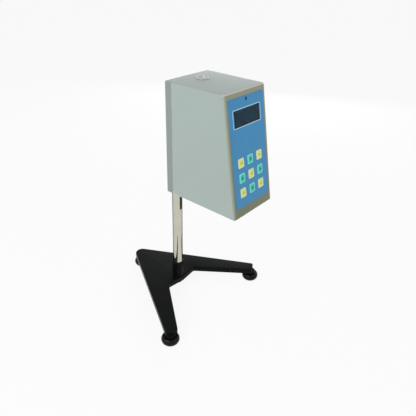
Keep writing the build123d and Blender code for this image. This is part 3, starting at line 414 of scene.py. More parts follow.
def metalMaterial(name, values):
    # bare metal with turning or brushing marks along one axis
    finish = {**metalDefaults, **values}
    material, tree, shader = startMaterial(name, {"Metallic": 1.0, **finish["shader"]})
    mapping = addNode(tree, "ShaderNodeMapping", {}, {"Scale": finish["lines"]})
    joinSockets(tree, objectPlace(tree), mapping.inputs["Vector"])
    lines = noiseNode(tree, mapping.outputs["Vector"], finish["noise"])
    grain = placeGroup(tree, surfaceGrain, {"Fine": finish["fine"], "Cloud": finish["cloud"]})
    base = finish["colour"]
    colour = mixColour(tree, grain.outputs["Cloudy"], shade(base, finish["cloudShade"]), base)
    stain = mathNode(tree, "MULTIPLY", grain.outputs["Speck"], finish["stain"])
    colour = mixColour(tree, stain, colour, shade(base, finish["stainShade"]))
    joinSockets(tree, colour, shader.inputs["Base Color"])
    rough = finish["rough"]
    spread = finish.get("roughSpread", rough * finish["spreadShare"])
    varyRoughness(tree, shader, lines.outputs["Fac"], rough - spread, rough + spread)
    addBump(tree, shader, lines.outputs["Fac"], finish["bump"], finish["depth"])
    return material


def boardMaterial(name, finish):
    # circuit board: solder mask with faint tracks
    material, tree, shader = startMaterial(name, finish["shader"])
    brick = addNode(tree, "ShaderNodeTexBrick", finish["pattern"], finish["tracks"])
    brick.inputs["Color1"].default_value = (*finish["colour"], 1)
    brick.inputs["Color2"].default_value = (*shade(finish["colour"], finish["otherShade"]), 1)
    brick.inputs["Mortar"].default_value = (*finish["trackColour"], 1)
    swap = addNode(tree, "ShaderNodeMapping", {}, {"Rotation": finish["turn"]})
    joinSockets(tree, objectPlace(tree), swap.inputs["Vector"])
    joinSockets(tree, swap.outputs["Vector"], brick.inputs["Vector"])
    joinSockets(tree, brick.outputs["Color"], shader.inputs["Base Color"])
    addBump(tree, shader, brick.outputs["Fac"], finish["bump"], finish["depth"])
    return material


clearDefaults = {
    "ior": 1.5,
    "rough": 0.02,
    "roughSpread": 0.04,
    "fine": 400.0,
    "cloud": 60.0,
    "cloudShade": 0.96,
}


def clearMaterial(name, values):
    # clear glass, fluid or plastic with faint smears
    finish = {**clearDefaults, **values}
    material, tree, shader = startMaterial(name, {"Transmission Weight": 1.0, "IOR": finish["ior"]})
    grain = placeGroup(tree, surfaceGrain, {"Fine": finish["fine"], "Cloud": finish["cloud"]})
    base = finish["colour"]
    colour = mixColour(tree, grain.outputs["Cloudy"], shade(base, finish["cloudShade"]), base)
    joinSockets(tree, colour, shader.inputs["Base Color"])
    rough = finish["rough"]
    varyRoughness(tree, shader, grain.outputs["Cloudy"], rough, rough + finish["roughSpread"])
    return material


def srgb(red, green, blue):
    # 8-bit screen colour to the linear colour that a shader takes
    values = []
    for value in (red, green, blue):
        share = value / 255
        values.append(share / 12.92 if share <= 0.04045 else ((share + 0.055) / 1.055) ** 2.4)
    return tuple(values)


lowGloss = {"Specular IOR Level": 0.2}
faintGloss = {"Specular IOR Level": 0.05}
paintCoat = {"Specular IOR Level": 0.35, "Coat Weight": 0.1, "Coat Roughness": 0.3}
filmCoat = {"Specular IOR Level": 0.25, "Coat Weight": 0.08, "Coat Roughness": 0.25}
keyCoat = {"Specular IOR Level": 0.3, "Coat Weight": 0.08, "Coat Roughness": 0.3}
paintFilm = {"grain": 2600.0, "cloud": 9.0, "tint": 0.03, "rough": 0.42, "bump": 0.14, "speck": 0.05}
keyFilm = {"grain": 2400.0, "tint": 0.05, "rough": 0.42, "bump": 0.1, "speck": 0.04, "shader": keyCoat}
printFilm = {"grain": 2400.0, "tint": 0.05, "rough": 0.4, "bump": 0.05}
displayFilm = {"grain": 2400.0, "tint": 0.1, "rough": 0.5, "bump": 0.02, "shader": faintGloss}
paintedShadeHeights = (0.43, 0.26)      # heights between which the panel frame's colour darkens, as painted shade toward the bottom
coatedFinishes = {
    # painted highlight: an edge mask at more than full strength with a near-white colour lights the housing's
    # rounded edges
    "housing_paint": {
        **paintFilm, "colour": srgb(170, 184, 180), "wearAndHighlight": 2.2, "wearAndHighlightWidth": 1.7 * mm,
        "wornAndLitEdgeColour": srgb(236, 228, 222), "shader": paintCoat,
    },
    # painted shade: a darker olive copy of the housing's paint for the faces that look out along the panel,
    # darker still toward the bottom, with the same painted edge highlight
    "frame_painted_shade": {
        **paintFilm, "colour": srgb(160, 162, 138), "wearAndHighlight": 2.2, "wearAndHighlightWidth": 1.7 * mm,
        "paintedShade": {"heights": paintedShadeHeights, "colour": srgb(126, 132, 104)},
        "wornAndLitEdgeColour": srgb(226, 218, 206), "shader": paintCoat,
    },
    # painted light and shade: a copy of the paint for the rounded edge on the panel's left, lighter than the
    # frame and darker toward the bottom
    "frame_side_painted_shade": {
        **paintFilm, "colour": srgb(170, 182, 166), "shader": paintCoat,
        "paintedShade": {"heights": paintedShadeHeights, "colour": srgb(154, 166, 148)},
    },
    # painted highlight: a pale copy of the paint for the rounded edge between the housing's top and its panel
    "edge_painted_highlight": {
        **paintFilm, "colour": srgb(216, 210, 196), "rough": 0.35, "bump": 0.1,
        "shader": {"Coat Weight": 0.2, "Coat Roughness": 0.2},
    },
    "cover_paint": {
        **paintFilm, "colour": srgb(145, 156, 157), "rough": 0.45, "bump": 0.16, "speck": 0.06,
        "wearAndHighlight": 0.4, "wornAndLitEdgeColour": srgb(184, 188, 184), "shader": {"Specular IOR Level": 0.35},
    },
    # the olive edge colour is partly wear and partly a painted highlight along the base's edges
    "black_enamel": {
        "colour": srgb(13, 17, 15), "grain": 1200.0, "cloud": 14.0, "tint": 0.12, "rough": 0.28, "bump": 0.10,
        "speck": 0.1, "wearAndHighlight": 0.35, "wearAndHighlightWidth": 1.6 * mm, "wornAndLitEdgeColour": srgb(104, 106, 92), "dust": 0.002,
        "shader": {"Specular IOR Level": 0.06},
    },
    "bracket_paint": {
        "colour": srgb(36, 38, 38), "grain": 1100.0, "tint": 0.15, "rough": 0.48, "bump": 0.3,
        "depth": 0.4 * mm, "wearAndHighlight": 0.5, "wornAndLitEdgeColour": srgb(110, 110, 108), "shader": lowGloss,
    },
    "black_plastic": {
        "colour": srgb(26, 26, 27), "grain": 2200.0, "tint": 0.1, "rough": 0.42, "bump": 0.12,
        "wearAndHighlight": 0.15, "wornAndLitEdgeColour": srgb(60, 60, 60), "dust": 0.003, "shader": lowGloss,
    },
    "foot_plastic": {
        "colour": srgb(14, 14, 15), "grain": 1500.0, "tint": 0.12, "rough": 0.3, "bump": 0.10,
        "wearAndHighlight": 0.15, "wornAndLitEdgeColour": srgb(60, 60, 58), "dust": 0.002, "shader": {"Specular IOR Level": 0.13},
    },
    "rocker_plastic": {
        "colour": srgb(20, 20, 21), "grain": 1800.0, "tint": 0.1, "rough": 0.3, "bump": 0.08,
        "shader": lowGloss,
    },
    "nylon": {
        "colour": srgb(232, 228, 212), "grain": 1500.0, "tint": 0.04, "rough": 0.5, "bump": 0.08,
        "shader": {"Subsurface Weight": 0.1},
    },
    "rubber": {
        "colour": srgb(30, 30, 30), "grain": 2600.0, "tint": 0.2, "rough": 0.8, "bump": 0.35, "dust": 0.1,
    },
    "overlay_film": {
        "colour": srgb(68, 154, 208), "grain": 3200.0, "cloud": 11.0, "rough": 0.4, "bump": 0.1,
        "speck": 0.03, "shader": filmCoat,
    },
    "led_lens": {
        "colour": srgb(8, 66, 132), "grain": 1000.0, "tint": 0.1, "rough": 0.2, "bump": 0.02,
        "shader": {"Specular IOR Level": 0.15, "Coat Weight": 0.1, "Coat Roughness": 0.1},
    },
    "key_yellow": {**keyFilm, "colour": srgb(240, 255, 208), "tint": 0.04},
    "key_green": {**keyFilm, "colour": srgb(134, 246, 240)},
    "pad_yellow": {**keyFilm, "colour": srgb(240, 255, 138)},
    "pad_green": {**keyFilm, "colour": srgb(52, 220, 190)},
    "key_ink_green": {**printFilm, "colour": srgb(0, 108, 66), "tint": 0.1},
    "key_ink_ochre": {**printFilm, "colour": srgb(212, 220, 78), "tint": 0.1},
    "pale_print": {**printFilm, "colour": srgb(206, 238, 250)},
    "white_print": {**printFilm, "colour": srgb(225, 225, 220)},
    "display_glass": {**displayFilm, "colour": srgb(68, 106, 120)},
    "display_cell": {**displayFilm, "colour": srgb(56, 90, 104)},
    "disc_black": {
        "colour": srgb(26, 26, 27), "grain": 2000.0, "tint": 0.1, "rough": 0.5, "bump": 0.1,
        "shader": {"Metallic": 0.6},
    },
}
metalFinishes = {
    "chrome": {
        "colour": (0.58, 0.57, 0.48), "rough": 0.07, "roughSpread": 0.03, "lines": (60, 60, 700),
        "bump": 0.015, "stain": 0.08, "shader": {"Specular Tint": (0.06, 0.06, 0.04, 1.0)},
    },
    "steel": {"colour": (0.58, 0.57, 0.55), "rough": 0.26, "lines": (30, 30, 1200), "bump": 0.06},
    "dark_steel": {
        "colour": (0.13, 0.13, 0.12), "rough": 0.38, "lines": (500, 30, 30), "bump": 0.08, "stain": 0.4,
    },
    "black_screw": {"colour": (0.045, 0.045, 0.045), "rough": 0.36, "lines": (300, 300, 30), "bump": 0.05},
    "brass": {"colour": (0.72, 0.54, 0.25), "rough": 0.28, "lines": (900, 30, 30), "bump": 0.05},
    "aluminium": {"colour": (0.66, 0.66, 0.65), "rough": 0.34, "lines": (30, 700, 30), "bump": 0.08},
    "zinc_steel": {
        "colour": (0.58, 0.59, 0.60), "rough": 0.38, "lines": (60, 60, 60), "bump": 0.05, "stain": 0.3,
    },
    "motor_steel": {"colour": (0.20, 0.20, 0.21), "rough": 0.4, "lines": (30, 30, 1500), "bump": 0.1},
    "spring_bronze": {"colour": (0.60, 0.36, 0.18), "rough": 0.25, "lines": (400, 400, 40), "bump": 0.03},
    "level_metal": {"colour": (0.42, 0.43, 0.42), "rough": 0.24, "lines": (40, 40, 900), "bump": 0.05},
    "port_metal": {"colour": (0.64, 0.64, 0.63), "rough": 0.3, "lines": (200, 200, 200), "bump": 0.05},
}
boardFinish = {
    "colour": (0.012, 0.12, 0.045),
    "otherShade": 0.8,
    "trackColour": (0.05, 0.22, 0.09),
    "pattern": {"offset": 0.37, "squash": 0.7},
    "tracks": {"Scale": 160.0, "Mortar Size": 0.012},
    "turn": (math.radians(90), 0, 0),       # the pattern lies in the board's upright face
    "bump": 0.2,
    "depth": 0.1 * mm,
    "shader": {"Roughness": 0.35},
}
clearFinishes = {
    "clear_glass": {"colour": (0.93, 0.97, 0.93)},
    "level_fluid": {"colour": (0.55, 0.80, 0.25), "ior": 1.35},
    "air_bubble": {"colour": (0.98, 1.0, 0.95), "ior": 1.05},
    "dark_window": {"colour": (0.40, 0.52, 0.60), "rough": 0.03, "ior": 1.15},
}
materials = {name: coatedMaterial(name, finish) for name, finish in coatedFinishes.items()}
materials.update({name: metalMaterial(name, finish) for name, finish in metalFinishes.items()})
materials["circuit_board"] = boardMaterial("circuit_board", boardFinish)
materials.update({name: clearMaterial(name, finish) for name, finish in clearFinishes.items()})
print("finishes made:", len(materials))

finishOf = {name: materials[slotOf[name]] for name in nodes}
finishOf["column_nut"] = materials["black_screw"]
for name, node in nodes.items():
    if not node.material_slots:
        node.data.materials.append(finishOf[name])
    for slot in node.material_slots:
        slot.material = finishOf[name]

mergeGap = 0.005 * mm


def smoothCopy(node, angle=30):
    # the frame's mesh is loose triangles, so a copy is merged and shaded by angle
    copy = nodes[node].copy()
    copy.data = nodes[node].data.copy()
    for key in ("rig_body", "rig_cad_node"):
        if key in copy:
            del copy[key]
    copy.parent = None
    scene.collection.objects.link(copy)
    makeActive(copy)
    editMode()
    bpy.ops.mesh.select_all(action="SELECT")
    bpy.ops.mesh.customdata_custom_splitnormals_clear()
    bpy.ops.mesh.remove_doubles(threshold=mergeGap)
    objectMode()
    slot = slotOf[node]
    return finishPiece(copy, f"{node}_finished", materials[slot], bodyOf[node], (node,), angle)


pressAxis = Vector(jointOf["key_1_press"]["axis"]).normalized()
panelOut = -pressAxis
panelUp = Vector((1, 0, 0)).cross(pressAxis) * -1
if panelUp.z < 0:
    panelUp = -panelUp
housingLow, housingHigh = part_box("front_housing")
panelLength = (housingHigh.z - housingLow.z) / panelUp.z
panelTop = Vector((0, housingLow.y, housingLow.z)) + panelUp * panelLength
panelTurn = Matrix((Vector((1, 0, 0)), panelUp, panelOut)).transposed().to_4x4()


def panelPlace(x, down, out=0.0):
    # a place on the sloping panel: across, down the slope from its top edge, and proud of it
    return Matrix.Translation(panelTop + Vector((x, 0, 0)) - panelUp * down + panelOut * out) @ panelTurn


def panelSpan(node):
    # a node's lowest and highest corners in the panel's own directions
    back = panelPlace(0, 0).inverted()
    points = [back @ vertex.co for vertex in nodes[node].data.vertices]
    low = Vector([min(point[axis] for point in points) for axis in range(3)])
    high = Vector([max(point[axis] for point in points) for axis in range(3)])
    return low, high


smoothNodes = (
    "base_plate", "left_foot_screw", "right_foot_screw", "rear_foot_screw", "column",
    "lift_knob", "tension_knob", "guard_collar", "spindle_coupling", "level_cup", "lift_bracket",
)
castLook = {
    "coverTop": 0.7,            # the cover's faces whose normal rises more than this take the housing's paint
    "frameFacing": 0.985,       # the housing's faces that look out along the panel's normal, which take the frame's painted shade
    "edgeRise": (0.45, 0.93),   # the rounded edge between the housing's top and its panel, which takes a painted highlight
    "edgeFront": -0.2,
    "sideLeft": -0.2,           # the rounded edge on the panel's left, which takes painted light and shade
    "sideFront": -0.3,
}


def addPaints(piece, *names):
    for name in names:
        piece.data.materials.append(materials[name])


def finishCastParts():
    look = castLook
    for node in smoothNodes:
        smoothCopy(node)
    cover = smoothCopy("rear_cover")
    addPaints(cover, "housing_paint")
    for face in cover.data.polygons:
        if face.normal.z > look["coverTop"]:
            face.material_index = 1
    housing = smoothCopy("front_housing")
    # painted shade and highlight: the panel frame, the top edge and the left edge get lit and shaded copies
    # of the paint by the way each face looks
    addPaints(housing, "frame_painted_shade", "edge_painted_highlight", "frame_side_painted_shade")
    low, high = look["edgeRise"]
    for face in housing.data.polygons:
        if face.normal.dot(panelOut) > look["frameFacing"]:
            face.material_index = 1
        elif low < face.normal.z < high and face.normal.y < look["edgeFront"]:
            face.material_index = 2
        elif face.normal.x < look["sideLeft"] and face.normal.y < look["sideFront"]:
            face.material_index = 3


def startChoice(piece, mode):
    # everything deselected in edit mode, and back in object mode to select in code
    makeActive(piece)
    editMode()
    bpy.ops.mesh.select_mode(type=mode)
    bpy.ops.mesh.select_all(action="DESELECT")
    objectMode()


def chooseFaces(piece, test):
    startChoice(piece, "FACE")
    for face in piece.data.polygons:
        face.select = test(face)
    editMode()


def chooseEdges(piece, test):
    startChoice(piece, "EDGE")
    points = piece.data.vertices
    for edge in piece.data.edges:
        first, second = (points[index].co for index in edge.vertices)
        edge.select = test(first, second)
    editMode()


def addBlock(size, place=(0, 0, 0)):
    deselectAll()
    bpy.ops.mesh.primitive_cube_add(size=1, location=place)
    block = bpy.context.active_object
    block.scale = size
    applyPlace(block)
    return block


def addDisc(radius, depth, place=(0, 0, 0), sides=48, turn=(0, 0, 0)):
    deselectAll()
    bpy.ops.mesh.primitive_cylinder_add(
        vertices=sides, radius=radius, depth=depth, location=place, rotation=turn,
    )
    disc = bpy.context.active_object
    applyPlace(disc)
    return disc


def bevelEdges(piece, test, width, segments=3):
    chooseEdges(piece, test)
    bpy.ops.mesh.bevel(offset=width, segments=segments, affect="EDGES")
    objectMode()


def roundedBlock(size, corner, edge, segments=5):
    # block with round upright corners and a softened top edge
    block = addBlock(size)
    bevelEdges(block, lambda a, b: abs(a.z - b.z) > size[2] * 0.5, corner, segments)
    top = size[2] / 2 - tiny
    bevelEdges(block, lambda a, b: a.z > top and b.z > top, edge, 3)
    return block


cutDeep = 1 * mm             # depth of a cutter that goes right through a thin mark


def cutFrom(piece, cutter):
    cut = piece.modifiers.new("cut", "BOOLEAN")
    cut.operation = "DIFFERENCE"
    cut.solver = "EXACT"
    cut.object = cutter
    makeActive(piece)
    bpy.ops.object.modifier_apply(modifier=cut.name)
    bpy.data.objects.remove(cutter)


def placeBy(piece, matrix):
    piece.matrix_world = matrix
    applyPlace(piece)
    return piece


keyLook = {
    "lip": 1.4 * mm,         # hidden flange round the key
    "deep": 2.6 * mm,        # cap's depth below its rim
    "corner": 1.6 * mm,
    "edge": 0.5 * mm,        # softened rim
    "rimInset": 0.8 * mm,
    "crown": 0.12 * mm,      # middle of the key above its rim
    "padInset": 2.5 * mm,    # coloured middle inside the pale rim
    "padHigh": 0.12 * mm,
    "padCorner": 1.28 * mm,
    "padEdge": 0.048 * mm,
    "markHigh": 0.08 * mm,
    "markSize": 4.9 * mm,
    "sink": 0.01 * mm,
}
faceUp = 0.99                # a face counts as flat when its normal passes this
keyMarks = {1: "bar", 2: "up", 3: "bar", 4: "left", 5: "dot", 6: "right", 7: "bar", 8: "down", 9: "bar"}
arrowTurns = {"up": 0, "left": 90, "down": 180, "right": 270}
markShares = {               # of the mark's size, or of its height where an edge is softened
    "bar": (1.15, 0.62),     # width and height
    "barCorner": 0.2,
    "barEdge": 0.3,
    "dot": 0.52,
    "arrow": 0.72,
    "arrowCorner": 0.1,
}


def markShape(kind, size, high):
    share = markShares
    if kind == "bar":
        width, height = share["bar"]
        block = (size * width, size * height, high)
        return roundedBlock(block, size * share["barCorner"], high * share["barEdge"])
    if kind == "dot":
        return addDisc(size * share["dot"], high, sides=28)
    # an arrow starts as a triangle with one point up
    mark = addDisc(size * share["arrow"], high, sides=3)
    mark.rotation_euler = (0, 0, math.radians(arrowTurns[kind]))
    applyPlace(mark)
    bevelEdges(mark, lambda a, b: abs(a.z - b.z) > high * 0.5, size * share["arrowCorner"], 2)
    return mark


def buildKeys():
    look = keyLook
    back = panelPlace(0, 0).inverted()
    for number, kind in keyMarks.items():
        node = f"key_{number}"
        slot = slotOf[node]
        low, high = panelSpan(node)
        across = middle(low.x, high.x)
        down = -middle(low.y, high.y)
        cap = [face for face in nodes[node].data.polygons if face.normal.dot(panelOut) > faceUp]
        rise = max((back @ face.center).z for face in cap) - look["padHigh"] - look["markHigh"]
        width = high.x - low.x - 2 * look["lip"]
        height = high.y - low.y - 2 * look["lip"]
        deep = rise + look["deep"]
        key = roundedBlock((width, height, deep), look["corner"], look["edge"])
        chooseFaces(key, lambda face: face.normal.z > faceUp and face.center.z > deep / 2 - look["sink"])
        bpy.ops.mesh.inset(thickness=look["rimInset"])
        bpy.ops.transform.translate(value=(0, 0, look["crown"]))
        objectMode()
        placeBy(key, panelPlace(across, down, rise - look["crown"] - deep / 2))
        finishPiece(key, f"{node}_cap", materials[slot], node, (node,), 50)
        inset = 2 * look["padInset"]
        padSize = (width - inset, height - inset, look["padHigh"] + look["sink"])
        pad = roundedBlock(padSize, look["padCorner"], look["padEdge"])
        placeBy(pad, panelPlace(across, down, rise + look["padHigh"] / 2))
        padColour = "pad_green" if slot == "key_green" else "pad_yellow"
        finishPiece(pad, f"{node}_pad", materials[padColour], node)
        mark = markShape(kind, look["markSize"], look["markHigh"] + look["sink"])
        placeBy(mark, panelPlace(across, down, rise + look["padHigh"] + look["markHigh"] / 2))
        ink = "key_ink_green" if slot == "key_green" else "key_ink_ochre"
        finishPiece(mark, f"{node}_mark", materials[ink], node)


displayLook = {
    "lap": 1.4 * mm,           # window's edge hidden behind the film
    "frameGap": (5.8 * mm, 2.8 * mm),
    "frameWidth": 1.05 * mm,
    "frameHigh": 0.06 * mm,
    "frameCorner": 2.5 * mm,
    "frameEdge": 0.018 * mm,
    "frameSegments": 8,
    "faceShare": (0.965, 0.90),
    "faceThick": 0.3 * mm,
    "faceDeep": 2.35 * mm,
    "columns": 16,
    "rows": 4,
    "gridShare": (0.86, 0.72),
    "cellShare": (0.80, 0.84),
    "cellHigh": 0.04 * mm,
    "cellDeep": 2.18 * mm,
}


def buildDisplay():
    look = displayLook
    low, high = panelSpan("display_window")
    width = high.x - low.x - 2 * look["lap"]
    height = high.y - low.y - 2 * look["lap"]
    down = -middle(low.y, high.y)
    film = panelSpan("panel_overlay")[1].z
    ringWidth = width + look["frameGap"][0]
    ringHeight = height + look["frameGap"][1]
    line = look["frameWidth"]
    corner = look["frameCorner"]
    edge = look["frameEdge"]
    segments = look["frameSegments"]
    ring = roundedBlock((ringWidth, ringHeight, look["frameHigh"]), corner, edge, segments)
    holeSize = (ringWidth - 2 * line, ringHeight - 2 * line, cutDeep)
    cutFrom(ring, roundedBlock(holeSize, corner - line, edge, segments))
    placeBy(ring, panelPlace(0, down, film + edge))
    finishPiece(ring, "display_frame_print", materials["pale_print"], "head")

    # the display's own face, seen through the window, with a grid of character cells
    face = addBlock((width * look["faceShare"][0], height * look["faceShare"][1], look["faceThick"]))
    placeBy(face, panelPlace(0, down, -look["faceDeep"]))
    finishPiece(face, "display_face", materials["display_glass"], "head")
    cellWidth = width * look["gridShare"][0] / look["columns"]
    cellHeight = height * look["gridShare"][1] / look["rows"]
    cellSize = (cellWidth * look["cellShare"][0], cellHeight * look["cellShare"][1], look["cellHigh"])
    cells = []
    for row in range(look["rows"]):
        for column in range(look["columns"]):
            x = (column - (look["columns"] - 1) / 2) * cellWidth
            y = (row - (look["rows"] - 1) / 2) * cellHeight
            cells.append(addBlock(cellSize, (x, y, 0)))
    sheet = joinPieces(cells)
    placeBy(sheet, panelPlace(0, down, -look["cellDeep"]))
    finishPiece(sheet, "display_cells", materials["display_cell"], "head")


lampLook = {"radius": 3.0 * mm, "flat": 0.36, "sink": 0.5 * mm}


def addBall(radius, place=(0, 0, 0), flat=1.0):
    # ball pressed flat along Z
    deselectAll()
    bpy.ops.mesh.primitive_uv_sphere_add(segments=32, ring_count=16, radius=radius, location=place)
    ball = bpy.context.active_object
    ball.scale = (1, 1, flat)
    applyPlace(ball)
    return ball


def buildLamp():
    look = lampLook
    low, high = panelSpan("power_led")
    dome = addBall(look["radius"], flat=look["flat"])
    placeBy(dome, panelPlace(middle(low.x, high.x), -middle(low.y, high.y), high.z - look["sink"]))
    finishPiece(dome, "power_led_dome", materials["led_lens"], "head", (), 60)


levelLook = {
    "ringRadius": 3.4 * mm,
    "ringLine": 0.16 * mm,
    "rim": 0.75 * mm,            # cup's wall round the fluid
    "fluidDeep": 4.6 * mm,
    "fluidGap": 0.02 * mm,       # below the glass
    "bubble": 2.7 * mm,
    "bubbleFlat": 0.16,
    "bubblePlace": (0.9 * mm, 0.5 * mm, -0.5 * mm),
}


def buildLevel():
    look = levelLook
    low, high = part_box("level_glass")
    centre = Vector((middle(low.x, high.x), middle(low.y, high.y), low.z))
    bore = (high.x - low.x) / 2 - look["rim"]
    deep = look["fluidDeep"]
    fluid = addDisc(bore, deep, centre - Vector((0, 0, deep / 2 + look["fluidGap"])))
    finishPiece(fluid, "level_fluid", materials["level_fluid"], "head")
    deselectAll()
    bpy.ops.mesh.primitive_torus_add(
        major_radius=look["ringRadius"], minor_radius=look["ringLine"], major_segments=48, minor_segments=8,
        location=centre + Vector((0, 0, look["ringLine"])),
    )
    ring = bpy.context.active_object
    finishPiece(ring, "level_ring", materials["black_screw"], "head", (), 60)
    bubble = addBall(look["bubble"], centre + Vector(look["bubblePlace"]), look["bubbleFlat"])
    finishPiece(bubble, "level_bubble", materials["air_bubble"], "head", (), 60)


def cutCross(head, place, length, width, depth):
    # cross recess in a screw head that faces +Y
    cutFrom(head, addBlock((length, depth, width), place))
    cutFrom(head, addBlock((width, depth, length), place))


coverScrewLook = {
    "radius": 2.8 * mm,
    "high": 1.9 * mm,
    "round": 0.75 * mm,
    "slot": (3.0 * mm, 0.75 * mm, 2.4 * mm),     # length, width and depth of each bar of the cross
}
alongY = (math.radians(90), 0, 0)


def buildCoverScrews():
    look = coverScrewLook
    low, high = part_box("cover_screws")
    radius = look["radius"]
    heads = []
    for x in (low.x + radius, high.x - radius):
        for z in (low.z + radius, high.z - radius):
            head = addDisc(radius, look["high"], (x, high.y - look["high"] / 2, z), 36, alongY)
            bevelEdges(head, lambda a, b: min(a.y, b.y) > high.y - tiny, look["round"], 4)
            cutCross(head, (x, high.y, z), *look["slot"])
            heads.append(head)
    joined = joinPieces(heads)
    finishPiece(joined, "cover_screw_heads", materials["steel"], "head", ("cover_screws",))


inletLook = {
    "pin": (4.1 * mm, 10.9 * mm, 2.1 * mm),
    "pinTip": 0.45 * mm,
    "pinBack": 5.4 * mm,         # pin's middle behind the mouth's floor
    "pinPlaces": ((-2.0 * mm, 7.0 * mm), (2.0 * mm, 0), (-2.0 * mm, -7.0 * mm)),
    "recess": 5.0 * mm,
    "screwReach": 20.0 * mm,
    "screwRadius": 2.5 * mm,
    "screwHigh": 0.5 * mm,
    "screwSink": 0.15 * mm,
    "screwProud": 0.1 * mm,
    "screwSlot": (2.6 * mm, 0.6 * mm, 0.7 * mm),
}


def buildInlet():
    look = inletLook
    low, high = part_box("power_inlet")
    x = middle(low.x, high.x)
    z = middle(low.z, high.z)
    pinY = high.y - look["recess"] - look["pinBack"]
    tip = pinY + look["pin"][1] / 2 - tiny
    pins = []
    for across, up in look["pinPlaces"]:
        pin = addBlock(look["pin"], (x + across, pinY, z + up))
        bevelEdges(pin, lambda a, b: min(a.y, b.y) > tip, look["pinTip"], 3)
        pins.append(pin)
    finishPiece(joinPieces(pins), "inlet_pins", materials["port_metal"], "head")
    screws = []
    for up in (-1, 1):
        screwZ = z + up * look["screwReach"]
        place = (x, high.y - look["screwSink"], screwZ)
        head = addDisc(look["screwRadius"], look["screwHigh"], place, 32, alongY)
        cutCross(head, (x, high.y + look["screwProud"], screwZ), *look["screwSlot"])
        screws.append(head)
    finishPiece(joinPieces(screws), "inlet_screws", materials["steel"], "head")


switchLook = {
    "barHigh": 3.2 * mm,
    "line": 0.7 * mm,
    "ring": 1.7 * mm,
    "deep": 0.12 * mm,
    "proud": 0.03 * mm,
    "facing": 0.7,               # the rocker's two pressed faces look back at least this much
}


def buildSwitchMarks():
    look = switchLook
    back = [face for face in nodes["switch_rocker"].data.polygons if face.normal.y > look["facing"]]
    low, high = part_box("switch_rocker")
    x = middle(low.x, high.x)
    z = middle(low.z, high.z)
    for upper in (True, False):
        faces = [face for face in back if (face.center.z > z) == upper]
        area = sum(face.area for face in faces)
        centre = sum((face.center * face.area for face in faces), Vector()) / area
        out = sum((face.normal * face.area for face in faces), Vector()).normalized()
        if upper:
            mark = addBlock((look["line"], look["barHigh"], look["deep"]))
        else:
            mark = addDisc(look["ring"], look["deep"], sides=32)
            cutFrom(mark, addDisc(look["ring"] - look["line"], cutDeep, sides=32))
        up = Vector((0, -out.z, out.y))
        turn = Matrix((Vector((-1, 0, 0)), up, out)).transposed().to_4x4()
        spot = Vector((x, centre.y, centre.z)) + out * look["proud"]
        placeBy(mark, Matrix.Translation(spot) @ turn)
        name = "rocker_mark_on" if upper else "rocker_mark_off"
        finishPiece(mark, name, materials["white_print"], "rocker")


portLook = {
    "insert": (6.6 * mm, 15.4 * mm, 0.8 * mm),
    "insertCorner": 2.0 * mm,
    "insertEdge": 0.1 * mm,
    "insertSink": 0.35 * mm,
    "pitch": 2.76 * mm,
    "rowGap": 2.84 * mm,
    "rows": ((-1, 5), (1, 4)),   # side of the insert, and holes on it
    "hole": 0.55 * mm,
    "holeDeep": 1.2 * mm,
    "holePlace": 0.3 * mm,
    "nutRadius": 2.6 * mm,
    "nutHole": 1.3 * mm,
    "nutHoleLong": 6.0 * mm,
    "nutHolePlace": 1.0 * mm,
    "nutLong": 4.0 * mm,
    "nutSink": 3.0 * mm,
    "nutReach": 12.5 * mm,
}


def buildSerialPort():
    look = portLook
    low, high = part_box("serial_port")
    x = middle(low.x, high.x)
    z = middle(low.z, high.z)
    insert = roundedBlock(look["insert"], look["insertCorner"], look["insertEdge"])
    holes = []
    for side, count in look["rows"]:
        for row in range(count):
            along = (row - (count - 1) / 2) * look["pitch"]
            place = (side * look["rowGap"] / 2, along, look["holePlace"])
            holes.append(addDisc(look["hole"], look["holeDeep"], place, 12))
    cutFrom(insert, joinPieces(holes))
    turn = Matrix((Vector((-1, 0, 0)), Vector((0, 0, 1)), Vector((0, 1, 0)))).transposed().to_4x4()
    placeBy(insert, Matrix.Translation((x, high.y - look["insertSink"], z)) @ turn)
    finishPiece(insert, "port_insert", materials["black_plastic"], "head")
    nuts = []
    for up in (-1, 1):
        nutZ = z + up * look["nutReach"]
        nut = addDisc(look["nutRadius"], look["nutLong"], (x, high.y - look["nutSink"], nutZ), 6, alongY)
        holePlace = (x, high.y - look["nutHolePlace"], nutZ)
        cutFrom(nut, addDisc(look["nutHole"], look["nutHoleLong"], holePlace, 24, alongY))
        nuts.append(nut)
    finishPiece(joinPieces(nuts), "port_nuts", materials["steel"], "head")


knobCapLook = {
    "shares": {"lift_knob": 0.62, "tension_knob": 0.55},     # cap's radius as a share of the knob's
    "thick": 0.1 * mm,
    "sink": 0.06 * mm,
    "rim": 0.06,
    "dish": 0.05 * mm,
}
alongX = (0, math.radians(90), 0)


def buildKnobCaps():
    look = knobCapLook
    for node, share in look["shares"].items():
        low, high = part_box(node)
        radius = (high.z - low.z) / 2
        centre = (high.x - look["sink"], middle(low.y, high.y), middle(low.z, high.z))
        cap = addDisc(radius * share, look["thick"], centre, 48, alongX)
        chooseFaces(cap, lambda face: face.normal.x > faceUp)
        bpy.ops.mesh.inset(thickness=radius * look["rim"])
        bpy.ops.transform.translate(value=(-look["dish"], 0, 0))
        objectMode()
        finishPiece(cap, f"{node}_cap", materials["aluminium"], bodyOf[node])


finishCastParts()
print("smooth parts made")
buildKeys()
print("keys made")
buildDisplay()
buildLamp()
print("display and lamp made")
buildLevel()
buildCoverScrews()
buildInlet()
buildSwitchMarks()
buildSerialPort()
buildKnobCaps()
print("level, rear fittings and knobs made")


